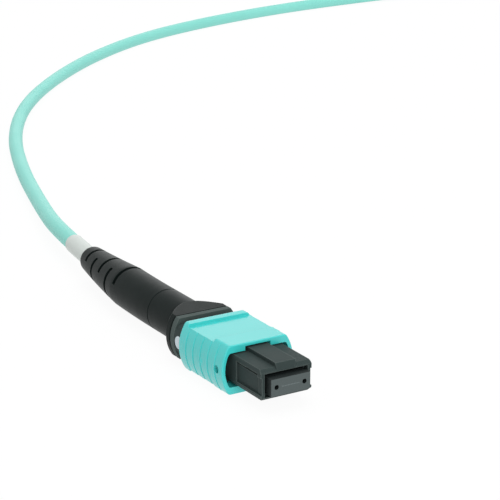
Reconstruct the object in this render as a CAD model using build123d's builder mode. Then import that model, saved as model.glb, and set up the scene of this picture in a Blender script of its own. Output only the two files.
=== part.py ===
"""Push-on multi-fibre connector with its lead, in millimetres.

Frame: +X points out of the nose, +Y is the left-hand side, +Z is up, and z = 0 is the surface it lies on.
Stations are distances behind the ferrule's end face. Each piece of the real connector is a solid of its own.
The lead's far end carries the same connector, put away beside the coil.
"""

import math
import os

from build123d import *

os.makedirs("parts", exist_ok=True)

# Ferrule: body, shoulder, guide bores and fibre row
FERRULE_WIDTH = 6.4
FERRULE_HEIGHT = 2.5
FERRULE_LENGTH = 8.0
SHOULDER_WIDTH = 7.0
SHOULDER_HEIGHT = 3.0
SHOULDER_LENGTH = 2.0
GUIDE_RADIUS = 0.35
GUIDE_PITCH = 4.6
FIBRE_COUNT = 12
FIBRE_PITCH = 0.25
FIBRE_RADIUS = 0.0625
FIBRE_BORE_SHARE = 0.45

# Rubber boot behind the ferrule, its pocket, and the plate that keeps guide pins
POCKET_WIDTH = 3.6
POCKET_HEIGHT = 1.8
WINDOW_WIDTH = 2.6
WINDOW_LENGTH = 1.4
KEEPER_LENGTH = 2.0
KEEPER_SLOT_AT = 2.1
KEEPER_SLOT_HALF = 0.4
KEEPER_TAIL = 2.6
RIBBON_WIDTH = 3.1
RIBBON_THICK = 0.32
RIBBON_STUB_GAP = 0.4
RIBBON_TRIM_WIDTH = 0.1
RIBBON_TRIM_THICK = 0.04
BUNDLE_START = 24.0
BUNDLE_LEAD = 0.5

# Inner housing: nose, flanges, latch pockets, key and rear body, heights from the connector's axis
NOSE_FRONT = 1.1
NOSE_HALF = 4.2
RIM_HALF = 4.0
NOSE_TOP_HALF = 4.08
NOSE_BOTTOM_HALF = 3.85
NOSE_TOP = 2.45
NOSE_BOTTOM = -2.2
FLANGE_EDGE = 2.15
LOWER_EDGE = -1.6
BEVEL = 0.5
MOUTH_WIDTH = 7.15
MOUTH_HEIGHT = 3.6
MOUTH_DEPTH = 1.0
POCKET_FRONT = 2.05
POCKET_REAR = 7.75
POCKET_TOP = 1.25
POCKET_BOTTOM = -1.35
POCKET_FLOOR = 3.86
GROOVE_TOP = 1.75
GROOVE_FLOOR = 3.72
KEY_HALF = 1.65
KEY_TOP = 3.05
KEY_SLOPE_REAR = 1.4
KEY_CORNER = 0.25
KEY_REAR = 11.8
BODY_FRONT = 10.8
BODY_HALF = 5.0
BODY_RISE = 2.45
BODY_CORNER = 0.8
BLOCK_FRONT = 21.3
BLOCK_HALF = 5.4
BLOCK_CORNER = 1.8
HOUSING_REAR = 23.8
SLIDE_GAP = 0.15
FREE_GAP = 0.05

# Coupling sleeve: bowed sides with stepped grips, recessed panels and a mouth notched for the key
SLEEVE_FRONT = 8.72
SLEEVE_LENGTH = 12.3
SLEEVE_RISE = 3.74
SLEEVE_CORNER = 4.79
SLEEVE_BULGE = 6.0
SLEEVE_FLARE = 0.16
SLEEVE_CAVITY_RISE = 2.6
SLEEVE_CAVITY_CORNER = 4.75
SLEEVE_CAVITY_BULGE = 5.45
SLEEVE_REAR_CAVITY = 0.3
SLEEVE_REAR_DEPTH = 2.3
SLEEVE_RIM = 2.1
GRIP_COUNT = 5
GRIP_STEP = 0.06
PANEL_FRONT = 12.5
PANEL_REAR = 19.75
PANEL_RISE = 3.3
LIP_FOOT = 3.6
LIP_CREST = 20.6
NOTCH_HALF = 2.1
NOTCH_RISE = 3.27
NOTCH_REAR = 12.05
SIDE_HOLE_AT = 10.38
SIDE_HOLE_RADIUS = 0.6

# Coupling springs, one in each side channel, and the sleeve's stop that bears on each
CHANNEL_FRONT = 11.1
CHANNEL_REAR = 19.2
CHANNEL_FLOOR = 3.98
CHANNEL_HALF = 0.75
STOP_GAP = 0.1
STOP_LENGTH = 1.0
STOP_HALF = 0.6
STOP_REACH = 4.15
SPRING_WIRE = 0.13
SPRING_RADIUS = 0.5
SPRING_TURNS = 7
SPRING_GAP = 0.07

# Main spring, flattened to pass round the ribbon
MAIN_WIRE = 0.25
MAIN_SIDE_GAP = 0.4
MAIN_TOP_GAP = 0.2
MAIN_TURNS = 5
MAIN_CORNER = 1.1

# Spring push: seat, snap arms, flange and crimp post
PUSH_FRONT = 19.0
PUSH_GAP = 0.1
PASSAGE_WIDTH = 4.6
PASSAGE_HEIGHT = 2.0
SNAP_FRONT = 19.8
SNAP_REAR = 21.2
SNAP_RISE = 0.75
SNAP_HALF = 0.7
SNAP_SLIT = 0.3
SNAP_ROOT = 0.4
SNAP_WINDOW_GAP = 0.1
SNAP_ARM_REAR = 22.6
FLANGE_RADIUS = 5.5
FLANGE_FLAT = 3.25
FLANGE_THICK = 1.1
FLANGE_EDGE_CHAMFER = 0.1
NECK_REAR = 26.2
POST_STEP = 0.7
POST_WALL = 0.6
POST_LENGTH = 6.8
POST_GROOVES = 5
POST_GROOVE_DEPTH = 0.12
POST_GROOVE_OFFSET = 0.75

# Crimp: yarn, ring and the end of the jacket
YARN_THICK = 0.15
YARN_GAP = 0.2
CRIMP_THICK = 0.35
CRIMP_LEAD = 0.6
CRIMP_GRIP = 3.4
CRIMP_SLOPE = 0.5
JACKET_GAP = 0.4
BUNDLE_RADIUS = 0.65

# Strain-relief boot: flange, barrel, and a tail that bends with the lead and tapers to its end
BOOT_GAP = 0.14
BOOT_CONE_FRONT = 26.1
BOOT_CONE_REAR = 29.2
BARREL_RADIUS = 3.5
BARREL_WALL = 0.6
BARREL_LINE_AT = 35.6
BARREL_LINE_WIDTH = 0.3
BARREL_LINE_DEPTH = 0.12
TAIL_LENGTH = 27.9
TAPER_START = 11.6
TAIL_BEND_RADIUS = 227.0
TAIL_END_RADIUS = 2.3
TAIL_RIM = 0.5
BORE_STEP_GAP = 0.4
BORE_OVERRUN = 1.05
SLIT_COUNT = 5
SLIT_FIRST = 10.7
SLIT_PITCH = 3.5
SLIT_WIDTH = 0.75
SLIT_SPAN = 213.0
SLIT_TURN = 38.0

# Polarity dot, label and lead
DOT_AT = 22.4
DOT_RADIUS = 1.0
DOT_THICK = 0.12
CABLE_RADIUS = 1.5
LABEL_START = 0.2
LABEL_LENGTH = 9.5
LABEL_THICK = 0.2

# Coil of the length that is put away, its tie, and the far connector beside it
COIL_CENTRE = (-252.85, 223.0)
COIL_TURN_RADIUS = 16.5
COIL_COLUMNS = 3
COIL_LAYERS = 2
TIE_THICK = 0.5
TIE_WIDTH = 6.0
TAIL_RUN = 18.0

# Values that follow from the dimensions above
AXIS_Z = SLEEVE_RISE
POST_REAR = NECK_REAR + POST_LENGTH
JACKET_FRONT = POST_REAR + JACKET_GAP
CRIMP_SHOULDER = POST_REAR + CRIMP_LEAD
CRIMP_REAR = CRIMP_SHOULDER + CRIMP_GRIP
BEND_AT = CRIMP_REAR + BORE_STEP_GAP
TAIL_TURN = TAIL_LENGTH / TAIL_BEND_RADIUS
TAIL_END_STATION = BEND_AT + TAIL_BEND_RADIUS * math.sin(TAIL_TURN)
TAIL_END_Y = TAIL_BEND_RADIUS * (1 - math.cos(TAIL_TURN))
OVERALL = TAIL_END_STATION + (TAIL_END_RADIUS - TAIL_RIM) * math.sin(TAIL_TURN)
FACE_X = OVERALL / 2
SHOULDER_FRONT = FERRULE_LENGTH - SHOULDER_LENGTH
FIBRE_BORE_LENGTH = FERRULE_LENGTH * FIBRE_BORE_SHARE
CAVITY_HALF = SHOULDER_WIDTH / 2 + SLIDE_GAP
CAVITY_RISE = SHOULDER_HEIGHT / 2 + SLIDE_GAP + FREE_GAP
PUSH_HALF_WIDTH = CAVITY_HALF - PUSH_GAP
PUSH_HALF_HEIGHT = CAVITY_RISE - PUSH_GAP
SNAP_REACH = PUSH_HALF_WIDTH + SNAP_RISE
MAIN_HALF_WIDTH = CAVITY_HALF - MAIN_WIRE - MAIN_SIDE_GAP
MAIN_HALF_HEIGHT = CAVITY_RISE - MAIN_WIRE - MAIN_TOP_GAP
KEEPER_REAR = FERRULE_LENGTH + KEEPER_LENGTH
SLEEVE_REAR = SLEEVE_FRONT + SLEEVE_LENGTH
STOP_FRONT = CHANNEL_FRONT + STOP_GAP
STOP_REAR = STOP_FRONT + STOP_LENGTH
FLANGE_REAR = HOUSING_REAR + FLANGE_THICK
BOOT_FRONT = FLANGE_REAR + BOOT_GAP
NECK_RADIUS = BARREL_RADIUS - BARREL_WALL
POST_RADIUS = NECK_RADIUS - POST_STEP
POST_BORE = POST_RADIUS - POST_WALL
TAIL_BORE = CABLE_RADIUS + FREE_GAP
YARN_RADIUS = POST_RADIUS + YARN_THICK
CRIMP_RADIUS = YARN_RADIUS + CRIMP_THICK
COIL_HEIGHT = 2 * CABLE_RADIUS * COIL_LAYERS
COIL_INNER = COIL_TURN_RADIUS - COIL_COLUMNS * CABLE_RADIUS
COIL_OUTER = COIL_TURN_RADIUS + COIL_COLUMNS * CABLE_RADIUS
OUTER_TURN = COIL_OUTER - CABLE_RADIUS
CONNECTOR_AXIS = Axis((FACE_X, 0, AXIS_Z), (1, 0, 0))

# Seen from the side: local x runs back from the ferrule's face and local y is up from the axis
SIDE_VIEW = Plane(origin=(FACE_X, 0, AXIS_Z), x_dir=(-1, 0, 0), z_dir=(0, 1, 0))


def station(distance):
    """Returns the plane across the connector at a distance behind the ferrule's face, left and up."""
    return Plane(origin=(FACE_X - distance, 0, AXIS_Z), x_dir=(0, 1, 0), z_dir=(1, 0, 0))


def tail_plane(length):
    """Returns the plane across the boot at a length along its bend, local x up and local y left."""
    turn = length / TAIL_BEND_RADIUS
    back = BEND_AT + TAIL_BEND_RADIUS * math.sin(turn)
    aside = TAIL_BEND_RADIUS * (1 - math.cos(turn))
    outward = (-math.cos(turn), math.sin(turn), 0)
    return Plane(origin=(FACE_X - back, aside, AXIS_Z), x_dir=(0, 0, 1), z_dir=outward)


def bowed_section(corner, bulge, rise):
    """Returns a section with a flat top and bottom and bowed sides."""
    with BuildSketch() as section:
        with BuildLine():
            Line((-corner, rise), (corner, rise))
            ThreePointArc((corner, rise), (bulge, 0), (corner, -rise))
            Line((corner, -rise), (-corner, -rise))
            ThreePointArc((-corner, -rise), (-bulge, 0), (-corner, rise))
        make_face()
    return section.sketch


def keep(name, piece):
    """Labels a finished solid and writes it to its own file."""
    piece.label = name
    export_step(piece, f"parts/{name}.step")


# Ferrule
with BuildPart() as ferrule:
    with BuildSketch(station(0)):
        Rectangle(FERRULE_WIDTH, FERRULE_HEIGHT)
    extrude(amount=-FERRULE_LENGTH)
    with BuildSketch(station(SHOULDER_FRONT)):
        Rectangle(SHOULDER_WIDTH, SHOULDER_HEIGHT)
    extrude(amount=-SHOULDER_LENGTH)
    with BuildSketch(station(FERRULE_LENGTH)):
        Rectangle(POCKET_WIDTH, POCKET_HEIGHT)
    extrude(amount=FERRULE_LENGTH - FIBRE_BORE_LENGTH, mode=Mode.SUBTRACT)
    with BuildSketch(station(0)):
        with GridLocations(GUIDE_PITCH, 1, 2, 1):
            Circle(GUIDE_RADIUS)
    extrude(amount=-FERRULE_LENGTH, mode=Mode.SUBTRACT)
    with BuildSketch(station(0)):
        with GridLocations(FIBRE_PITCH, 1, FIBRE_COUNT, 1):
            Circle(FIBRE_RADIUS)
    extrude(amount=-FIBRE_BORE_LENGTH, mode=Mode.SUBTRACT)
    with BuildSketch(Plane.XY.offset(AXIS_Z + FERRULE_HEIGHT / 2)):
        with Locations((FACE_X - FIBRE_BORE_LENGTH - WINDOW_LENGTH / 2, 0)):
            Rectangle(WINDOW_LENGTH, WINDOW_WIDTH)
    extrude(amount=-FERRULE_HEIGHT / 2, mode=Mode.SUBTRACT)
keep("ferrule", ferrule.part)

# Bare fibres in the ferrule's row of bores, with the stub of their ribbon
RIBBON_JOIN = FERRULE_LENGTH - RIBBON_STUB_GAP
with BuildPart() as fibre_array:
    with BuildSketch(station(0)):
        with GridLocations(FIBRE_PITCH, 1, FIBRE_COUNT, 1):
            Circle(FIBRE_RADIUS)
    extrude(amount=-(FIBRE_BORE_LENGTH + WINDOW_LENGTH))
    with BuildSketch(station(FIBRE_BORE_LENGTH + WINDOW_LENGTH - FIBRE_RADIUS)):
        Rectangle(RIBBON_WIDTH, RIBBON_THICK)
    extrude(amount=-(RIBBON_JOIN - FIBRE_BORE_LENGTH - WINDOW_LENGTH + FIBRE_RADIUS))
keep("fibre_array", fibre_array.part)

# Soft boot that fills the ferrule's pocket and guides the ribbon out of it
with BuildPart() as ferrule_boot:
    with BuildSketch(station(FIBRE_BORE_LENGTH + WINDOW_LENGTH)):
        Rectangle(POCKET_WIDTH, POCKET_HEIGHT)
    extrude(amount=-(KEEPER_REAR + KEEPER_TAIL - FIBRE_BORE_LENGTH - WINDOW_LENGTH))
    with BuildSketch(station(FIBRE_BORE_LENGTH)):
        Rectangle(RIBBON_WIDTH, RIBBON_THICK)
    extrude(amount=-(KEEPER_REAR + KEEPER_TAIL), mode=Mode.SUBTRACT)
keep("ferrule_boot", ferrule_boot.part)

# Pin keeper: the plate between ferrule and spring, with open slots and no pins on this sex of connector
with BuildPart() as pin_keeper:
    with BuildSketch(station(FERRULE_LENGTH)):
        Rectangle(SHOULDER_WIDTH, SHOULDER_HEIGHT)
        Rectangle(POCKET_WIDTH, POCKET_HEIGHT, mode=Mode.SUBTRACT)
        for side in (-1, 1):
            with Locations((side * (KEEPER_SLOT_AT + SHOULDER_WIDTH / 2) / 2, 0)):
                Rectangle(SHOULDER_WIDTH / 2 - KEEPER_SLOT_AT, 2 * KEEPER_SLOT_HALF, mode=Mode.SUBTRACT)
    extrude(amount=-KEEPER_LENGTH)
keep("pin_keeper", pin_keeper.part)

# Inner housing
NOSE_SECTION = [
    (-NOSE_TOP_HALF, NOSE_TOP),
    (NOSE_TOP_HALF, NOSE_TOP),
    (NOSE_HALF, FLANGE_EDGE),
    (NOSE_HALF, LOWER_EDGE),
    (NOSE_BOTTOM_HALF, NOSE_BOTTOM),
    (-NOSE_BOTTOM_HALF, NOSE_BOTTOM),
    (-NOSE_HALF, LOWER_EDGE),
    (-NOSE_HALF, FLANGE_EDGE),
]
with BuildPart() as inner_housing:
    with BuildSketch(station(NOSE_FRONT)):
        with BuildLine():
            Polyline(*NOSE_SECTION, close=True)
        make_face()
    extrude(amount=-(BODY_FRONT - NOSE_FRONT))
    with BuildSketch(station(BODY_FRONT)):
        RectangleRounded(2 * BODY_HALF, 2 * BODY_RISE, BODY_CORNER)
    extrude(amount=-(HOUSING_REAR - BODY_FRONT))
    with BuildSketch(station(BLOCK_FRONT)):
        RectangleRounded(2 * BLOCK_HALF, 2 * BODY_RISE, BLOCK_CORNER)
    extrude(amount=-(HOUSING_REAR - BLOCK_FRONT))
    with BuildSketch(SIDE_VIEW):
        for edge, side in ((NOSE_TOP, 1), (NOSE_BOTTOM, -1)):
            with BuildLine():
                Polyline(
                    (NOSE_FRONT, edge - side * BEVEL),
                    (NOSE_FRONT + BEVEL, edge),
                    (NOSE_FRONT, edge + side * BEVEL),
                    close=True,
                )
            make_face()
    extrude(amount=NOSE_HALF, both=True, mode=Mode.SUBTRACT)
    with BuildSketch(Plane.XY.offset(AXIS_Z + NOSE_TOP - BEVEL)):
        with BuildLine():
            Polyline(
                (FACE_X - NOSE_FRONT, KEY_CORNER - KEY_HALF),
                (FACE_X - NOSE_FRONT, KEY_HALF - KEY_CORNER),
                (FACE_X - NOSE_FRONT - KEY_CORNER, KEY_HALF),
                (FACE_X - KEY_REAR, KEY_HALF),
                (FACE_X - KEY_REAR, -KEY_HALF),
                (FACE_X - NOSE_FRONT - KEY_CORNER, -KEY_HALF),
                close=True,
            )
        make_face()
    extrude(amount=KEY_TOP - NOSE_TOP + BEVEL)
    with BuildSketch(SIDE_VIEW):
        with BuildLine():
            Polyline(
                (NOSE_FRONT, NOSE_TOP - BEVEL),
                (KEY_SLOPE_REAR, KEY_TOP),
                (NOSE_FRONT, KEY_TOP),
                close=True,
            )
        make_face()
    extrude(amount=KEY_HALF, both=True, mode=Mode.SUBTRACT)
    for side in (-1, 1):
        with BuildSketch(station(NOSE_FRONT)):
            with Locations((side * (RIM_HALF + NOSE_HALF) / 2, (POCKET_TOP + POCKET_BOTTOM) / 2)):
                Rectangle(NOSE_HALF - RIM_HALF, POCKET_TOP - POCKET_BOTTOM)
        extrude(amount=-(POCKET_FRONT - NOSE_FRONT), mode=Mode.SUBTRACT)
        with BuildSketch(station(POCKET_FRONT)):
            with Locations((side * (POCKET_FLOOR + NOSE_HALF) / 2, (POCKET_TOP + POCKET_BOTTOM) / 2)):
                Rectangle(NOSE_HALF - POCKET_FLOOR, POCKET_TOP - POCKET_BOTTOM)
        extrude(amount=-(POCKET_REAR - POCKET_FRONT), mode=Mode.SUBTRACT)
        with BuildSketch(station(POCKET_FRONT)):
            with Locations((side * (GROOVE_FLOOR + NOSE_HALF) / 2, (GROOVE_TOP + POCKET_TOP) / 2)):
                Rectangle(NOSE_HALF - GROOVE_FLOOR, GROOVE_TOP - POCKET_TOP)
        extrude(amount=-(POCKET_REAR - POCKET_FRONT), mode=Mode.SUBTRACT)
        with BuildSketch(station(CHANNEL_FRONT)):
            with Locations((side * (CHANNEL_FLOOR + BODY_HALF) / 2, 0)):
                Rectangle(BODY_HALF - CHANNEL_FLOOR, 2 * CHANNEL_HALF)
        extrude(amount=-(CHANNEL_REAR - CHANNEL_FRONT), mode=Mode.SUBTRACT)
    with BuildSketch(station(NOSE_FRONT)):
        Rectangle(MOUTH_WIDTH, MOUTH_HEIGHT)
    extrude(amount=-MOUTH_DEPTH, mode=Mode.SUBTRACT)
    with BuildSketch(station(NOSE_FRONT)):
        Rectangle(FERRULE_WIDTH + 2 * SLIDE_GAP, FERRULE_HEIGHT + 2 * SLIDE_GAP)
    extrude(amount=-HOUSING_REAR, mode=Mode.SUBTRACT)
    with BuildSketch(station(SHOULDER_FRONT - FREE_GAP)):
        Rectangle(2 * CAVITY_HALF, 2 * CAVITY_RISE)
    extrude(amount=-HOUSING_REAR, mode=Mode.SUBTRACT)
    with BuildSketch(SIDE_VIEW):
        with Locations(((SNAP_FRONT + SNAP_REAR) / 2, 0)):
            Rectangle(SNAP_REAR - SNAP_FRONT + 2 * SNAP_WINDOW_GAP, 2 * (SNAP_HALF + SNAP_WINDOW_GAP))
    extrude(amount=BLOCK_HALF, both=True, mode=Mode.SUBTRACT)
keep("inner_housing", inner_housing.part)

# Coupling sleeve
GRIP_LENGTH = (SLEEVE_LENGTH - SLEEVE_RIM) / GRIP_COUNT
with BuildPart() as coupling_sleeve:
    with BuildSketch(station(SLEEVE_FRONT)):
        add(bowed_section(SLEEVE_CORNER, SLEEVE_BULGE, SLEEVE_RISE))
    extrude(amount=-SLEEVE_RIM)
    for band in range(GRIP_COUNT):
        front = SLEEVE_FRONT + SLEEVE_RIM + band * GRIP_LENGTH
        flare = SLEEVE_FLARE * (band + 1) / GRIP_COUNT
        for distance, step in ((front, GRIP_STEP), (front + GRIP_LENGTH, 0.0)):
            with BuildSketch(station(distance)):
                add(bowed_section(SLEEVE_CORNER + flare + step / 2, SLEEVE_BULGE + flare + step, SLEEVE_RISE))
        loft()
    with BuildSketch(station(SLEEVE_FRONT)):
        add(bowed_section(SLEEVE_CAVITY_CORNER, SLEEVE_CAVITY_BULGE, SLEEVE_CAVITY_RISE))
    extrude(amount=-SLEEVE_LENGTH, mode=Mode.SUBTRACT)
    with BuildSketch(station(SLEEVE_REAR)):
        add(
            bowed_section(
                SLEEVE_CAVITY_CORNER + SLEEVE_REAR_CAVITY,
                SLEEVE_CAVITY_BULGE + SLEEVE_REAR_CAVITY,
                SLEEVE_CAVITY_RISE + SLIDE_GAP,
            )
        )
    extrude(amount=SLEEVE_REAR_DEPTH, mode=Mode.SUBTRACT)
    with BuildSketch(station(SLEEVE_FRONT)):
        with Locations((0, NOTCH_RISE / 2)):
            Rectangle(2 * NOTCH_HALF, NOTCH_RISE)
    extrude(amount=-(NOTCH_REAR - SLEEVE_FRONT), mode=Mode.SUBTRACT)
    with BuildSketch(SIDE_VIEW):
        for side in (-1, 1):
            with BuildLine():
                Polyline(
                    (PANEL_FRONT, side * PANEL_RISE),
                    (PANEL_REAR, side * PANEL_RISE),
                    (PANEL_REAR, side * LIP_FOOT),
                    (LIP_CREST, side * SLEEVE_RISE),
                    (PANEL_FRONT, side * SLEEVE_RISE),
                    close=True,
                )
            make_face()
    extrude(amount=2 * SLEEVE_BULGE, both=True, mode=Mode.SUBTRACT)
    with BuildSketch(SIDE_VIEW):
        with Locations((SIDE_HOLE_AT, 0)):
            Circle(SIDE_HOLE_RADIUS)
    extrude(amount=2 * SLEEVE_BULGE, both=True, mode=Mode.SUBTRACT)
    with BuildSketch(station(STOP_FRONT)):
        for side in (-1, 1):
            with Locations((side * (STOP_REACH + SLEEVE_CAVITY_BULGE + SLIDE_GAP) / 2, 0)):
                Rectangle(SLEEVE_CAVITY_BULGE + SLIDE_GAP - STOP_REACH, 2 * STOP_HALF)
    extrude(amount=-STOP_LENGTH)
keep("coupling_sleeve", coupling_sleeve.part)

# Coupling springs between the sleeve's stops and the rear ends of the housing's channels
SPRING_LENGTH = CHANNEL_REAR - STOP_REAR
SPRING_RISE = SPRING_LENGTH - 2 * SPRING_WIRE
SPRING_Y = CHANNEL_FLOOR + SPRING_GAP + SPRING_RADIUS + SPRING_WIRE
for side, name in ((1, "coupling_spring_left"), (-1, "coupling_spring_right")):
    with BuildPart() as coupling_spring:
        with BuildLine() as wire:
            Helix(
                pitch=SPRING_RISE / SPRING_TURNS,
                height=SPRING_RISE,
                radius=SPRING_RADIUS,
                center=(FACE_X - CHANNEL_REAR + SPRING_WIRE, side * SPRING_Y, AXIS_Z),
                direction=(1, 0, 0),
            )
        with BuildSketch(Plane(origin=wire.line @ 0, z_dir=wire.line % 0)):
            Circle(SPRING_WIRE)
        sweep(is_frenet=True)
    keep(name, coupling_spring.part)

# Main spring: flattened turns between the pin keeper and the spring push
MAIN_RISE = PUSH_FRONT - KEEPER_REAR - 2 * MAIN_WIRE
MAIN_CORNERS = [(1, 1), (-1, 1), (-1, -1), (1, -1)]
MAIN_POINTS = [
    (
        FACE_X - KEEPER_REAR - MAIN_WIRE - MAIN_RISE * index / (4 * MAIN_TURNS),
        MAIN_CORNERS[index % 4][0] * MAIN_HALF_WIDTH,
        AXIS_Z + MAIN_CORNERS[index % 4][1] * MAIN_HALF_HEIGHT,
    )
    for index in range(4 * MAIN_TURNS + 1)
]
with BuildPart() as main_spring:
    with BuildLine() as wire:
        FilletPolyline(*MAIN_POINTS, radius=MAIN_CORNER)
    with BuildSketch(Plane(origin=wire.line @ 0, z_dir=wire.line % 0)):
        Circle(MAIN_WIRE)
    sweep()
keep("main_spring", main_spring.part)

# Spring push
with BuildPart() as spring_push:
    with BuildSketch(station(PUSH_FRONT)):
        Rectangle(2 * PUSH_HALF_WIDTH, 2 * PUSH_HALF_HEIGHT)
    extrude(amount=-(HOUSING_REAR - PUSH_FRONT))
    with BuildSketch(station(HOUSING_REAR)):
        Circle(FLANGE_RADIUS)
        Rectangle(2 * FLANGE_RADIUS, 2 * FLANGE_FLAT, mode=Mode.INTERSECT)
    extrude(amount=-FLANGE_THICK)
    chamfer(spring_push.faces().sort_by(Axis.X)[0].outer_wire().edges(), FLANGE_EDGE_CHAMFER)
    with BuildSketch(station(FLANGE_REAR)):
        Circle(NECK_RADIUS)
    extrude(amount=-(NECK_REAR - FLANGE_REAR))
    with BuildSketch(station(NECK_REAR)):
        Circle(POST_RADIUS)
    extrude(amount=-(POST_REAR - NECK_REAR))
    POST_PITCH = (POST_REAR - NECK_REAR) / (POST_GROOVES + 1)
    for groove in range(POST_GROOVES):
        with BuildSketch(station(NECK_REAR + POST_PITCH * (groove + POST_GROOVE_OFFSET))):
            Circle(POST_RADIUS)
            Circle(POST_RADIUS - POST_GROOVE_DEPTH, mode=Mode.SUBTRACT)
        extrude(amount=-POST_PITCH / 2, mode=Mode.SUBTRACT)
    with BuildSketch(station(PUSH_FRONT)):
        Rectangle(PASSAGE_WIDTH, PASSAGE_HEIGHT)
    extrude(amount=-(HOUSING_REAR - PUSH_FRONT), mode=Mode.SUBTRACT)
    with BuildSketch(station(PUSH_FRONT)):
        Circle(POST_BORE)
    extrude(amount=-POST_REAR, mode=Mode.SUBTRACT)
    with BuildSketch(SIDE_VIEW):
        for side in (-1, 1):
            with Locations(((PUSH_FRONT + SNAP_ARM_REAR) / 2, side * (SNAP_HALF + SNAP_SLIT))):
                Rectangle(SNAP_ARM_REAR - PUSH_FRONT, SNAP_SLIT)
    extrude(amount=2 * PUSH_HALF_WIDTH, both=True, mode=Mode.SUBTRACT)
    with BuildSketch(Plane.XY.offset(AXIS_Z - SNAP_HALF)):
        for side in (-1, 1):
            with BuildLine():
                Polyline(
                    (FACE_X - SNAP_FRONT, side * PUSH_HALF_WIDTH),
                    (FACE_X - SNAP_REAR, side * SNAP_REACH),
                    (FACE_X - SNAP_REAR, side * (PUSH_HALF_WIDTH - SNAP_ROOT)),
                    (FACE_X - SNAP_FRONT, side * (PUSH_HALF_WIDTH - SNAP_ROOT)),
                    close=True,
                )
            make_face()
    extrude(amount=2 * SNAP_HALF)
keep("spring_push", spring_push.part)

# Ribbon through the spring, gathered into a round bundle where it enters the lead
with BuildPart() as fibre_ribbon:
    with BuildSketch(station(RIBBON_JOIN)):
        Rectangle(RIBBON_WIDTH - RIBBON_TRIM_WIDTH, RIBBON_THICK - RIBBON_TRIM_THICK)
    extrude(amount=-(BUNDLE_START - RIBBON_JOIN))
    with BuildSketch(station(BUNDLE_START)):
        Rectangle(RIBBON_WIDTH - RIBBON_TRIM_WIDTH, RIBBON_THICK - RIBBON_TRIM_THICK)
    with BuildSketch(station(POST_REAR - BUNDLE_LEAD)):
        Circle(BUNDLE_RADIUS)
    loft()
    with BuildSketch(station(POST_REAR - BUNDLE_LEAD)):
        Circle(BUNDLE_RADIUS)
    extrude(amount=-(JACKET_FRONT - POST_REAR + BUNDLE_LEAD))
keep("fibre_ribbon", fibre_ribbon.part)

# Strength yarn laid over the crimp post, and the ring that clamps it and the jacket
YARN_FRONT = NECK_REAR + YARN_GAP
with BuildPart() as aramid_yarn:
    with BuildSketch(station(YARN_FRONT)):
        Circle(YARN_RADIUS)
        Circle(POST_RADIUS, mode=Mode.SUBTRACT)
    extrude(amount=-(POST_REAR - YARN_FRONT))
keep("aramid_yarn", aramid_yarn.part)

with BuildPart() as crimp_ring:
    with BuildSketch(SIDE_VIEW):
        with BuildLine():
            Polyline(
                (YARN_FRONT, YARN_RADIUS),
                (YARN_FRONT, CRIMP_RADIUS),
                (CRIMP_SHOULDER, CRIMP_RADIUS),
                (CRIMP_SHOULDER + CRIMP_SLOPE, CABLE_RADIUS + CRIMP_THICK),
                (CRIMP_REAR, CABLE_RADIUS + CRIMP_THICK),
                (CRIMP_REAR, CABLE_RADIUS),
                (JACKET_FRONT, CABLE_RADIUS),
                (POST_REAR, YARN_RADIUS),
                close=True,
            )
        make_face()
    revolve(axis=CONNECTOR_AXIS)
keep("crimp_ring", crimp_ring.part)

# End of the lead's jacket, from the crimp through the boot's bent tail
BEND_AXIS = Axis((FACE_X - BEND_AT, TAIL_BEND_RADIUS, AXIS_Z), (0, 0, 1))
TAIL_DEGREES = math.degrees(TAIL_TURN)
with BuildPart() as jacket_end:
    with BuildSketch(station(JACKET_FRONT)):
        Circle(CABLE_RADIUS)
    extrude(amount=-(BEND_AT - JACKET_FRONT))
    with BuildSketch(tail_plane(0)):
        Circle(CABLE_RADIUS)
    revolve(axis=BEND_AXIS, revolution_arc=-TAIL_DEGREES)
keep("jacket_end", jacket_end.part)

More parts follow.
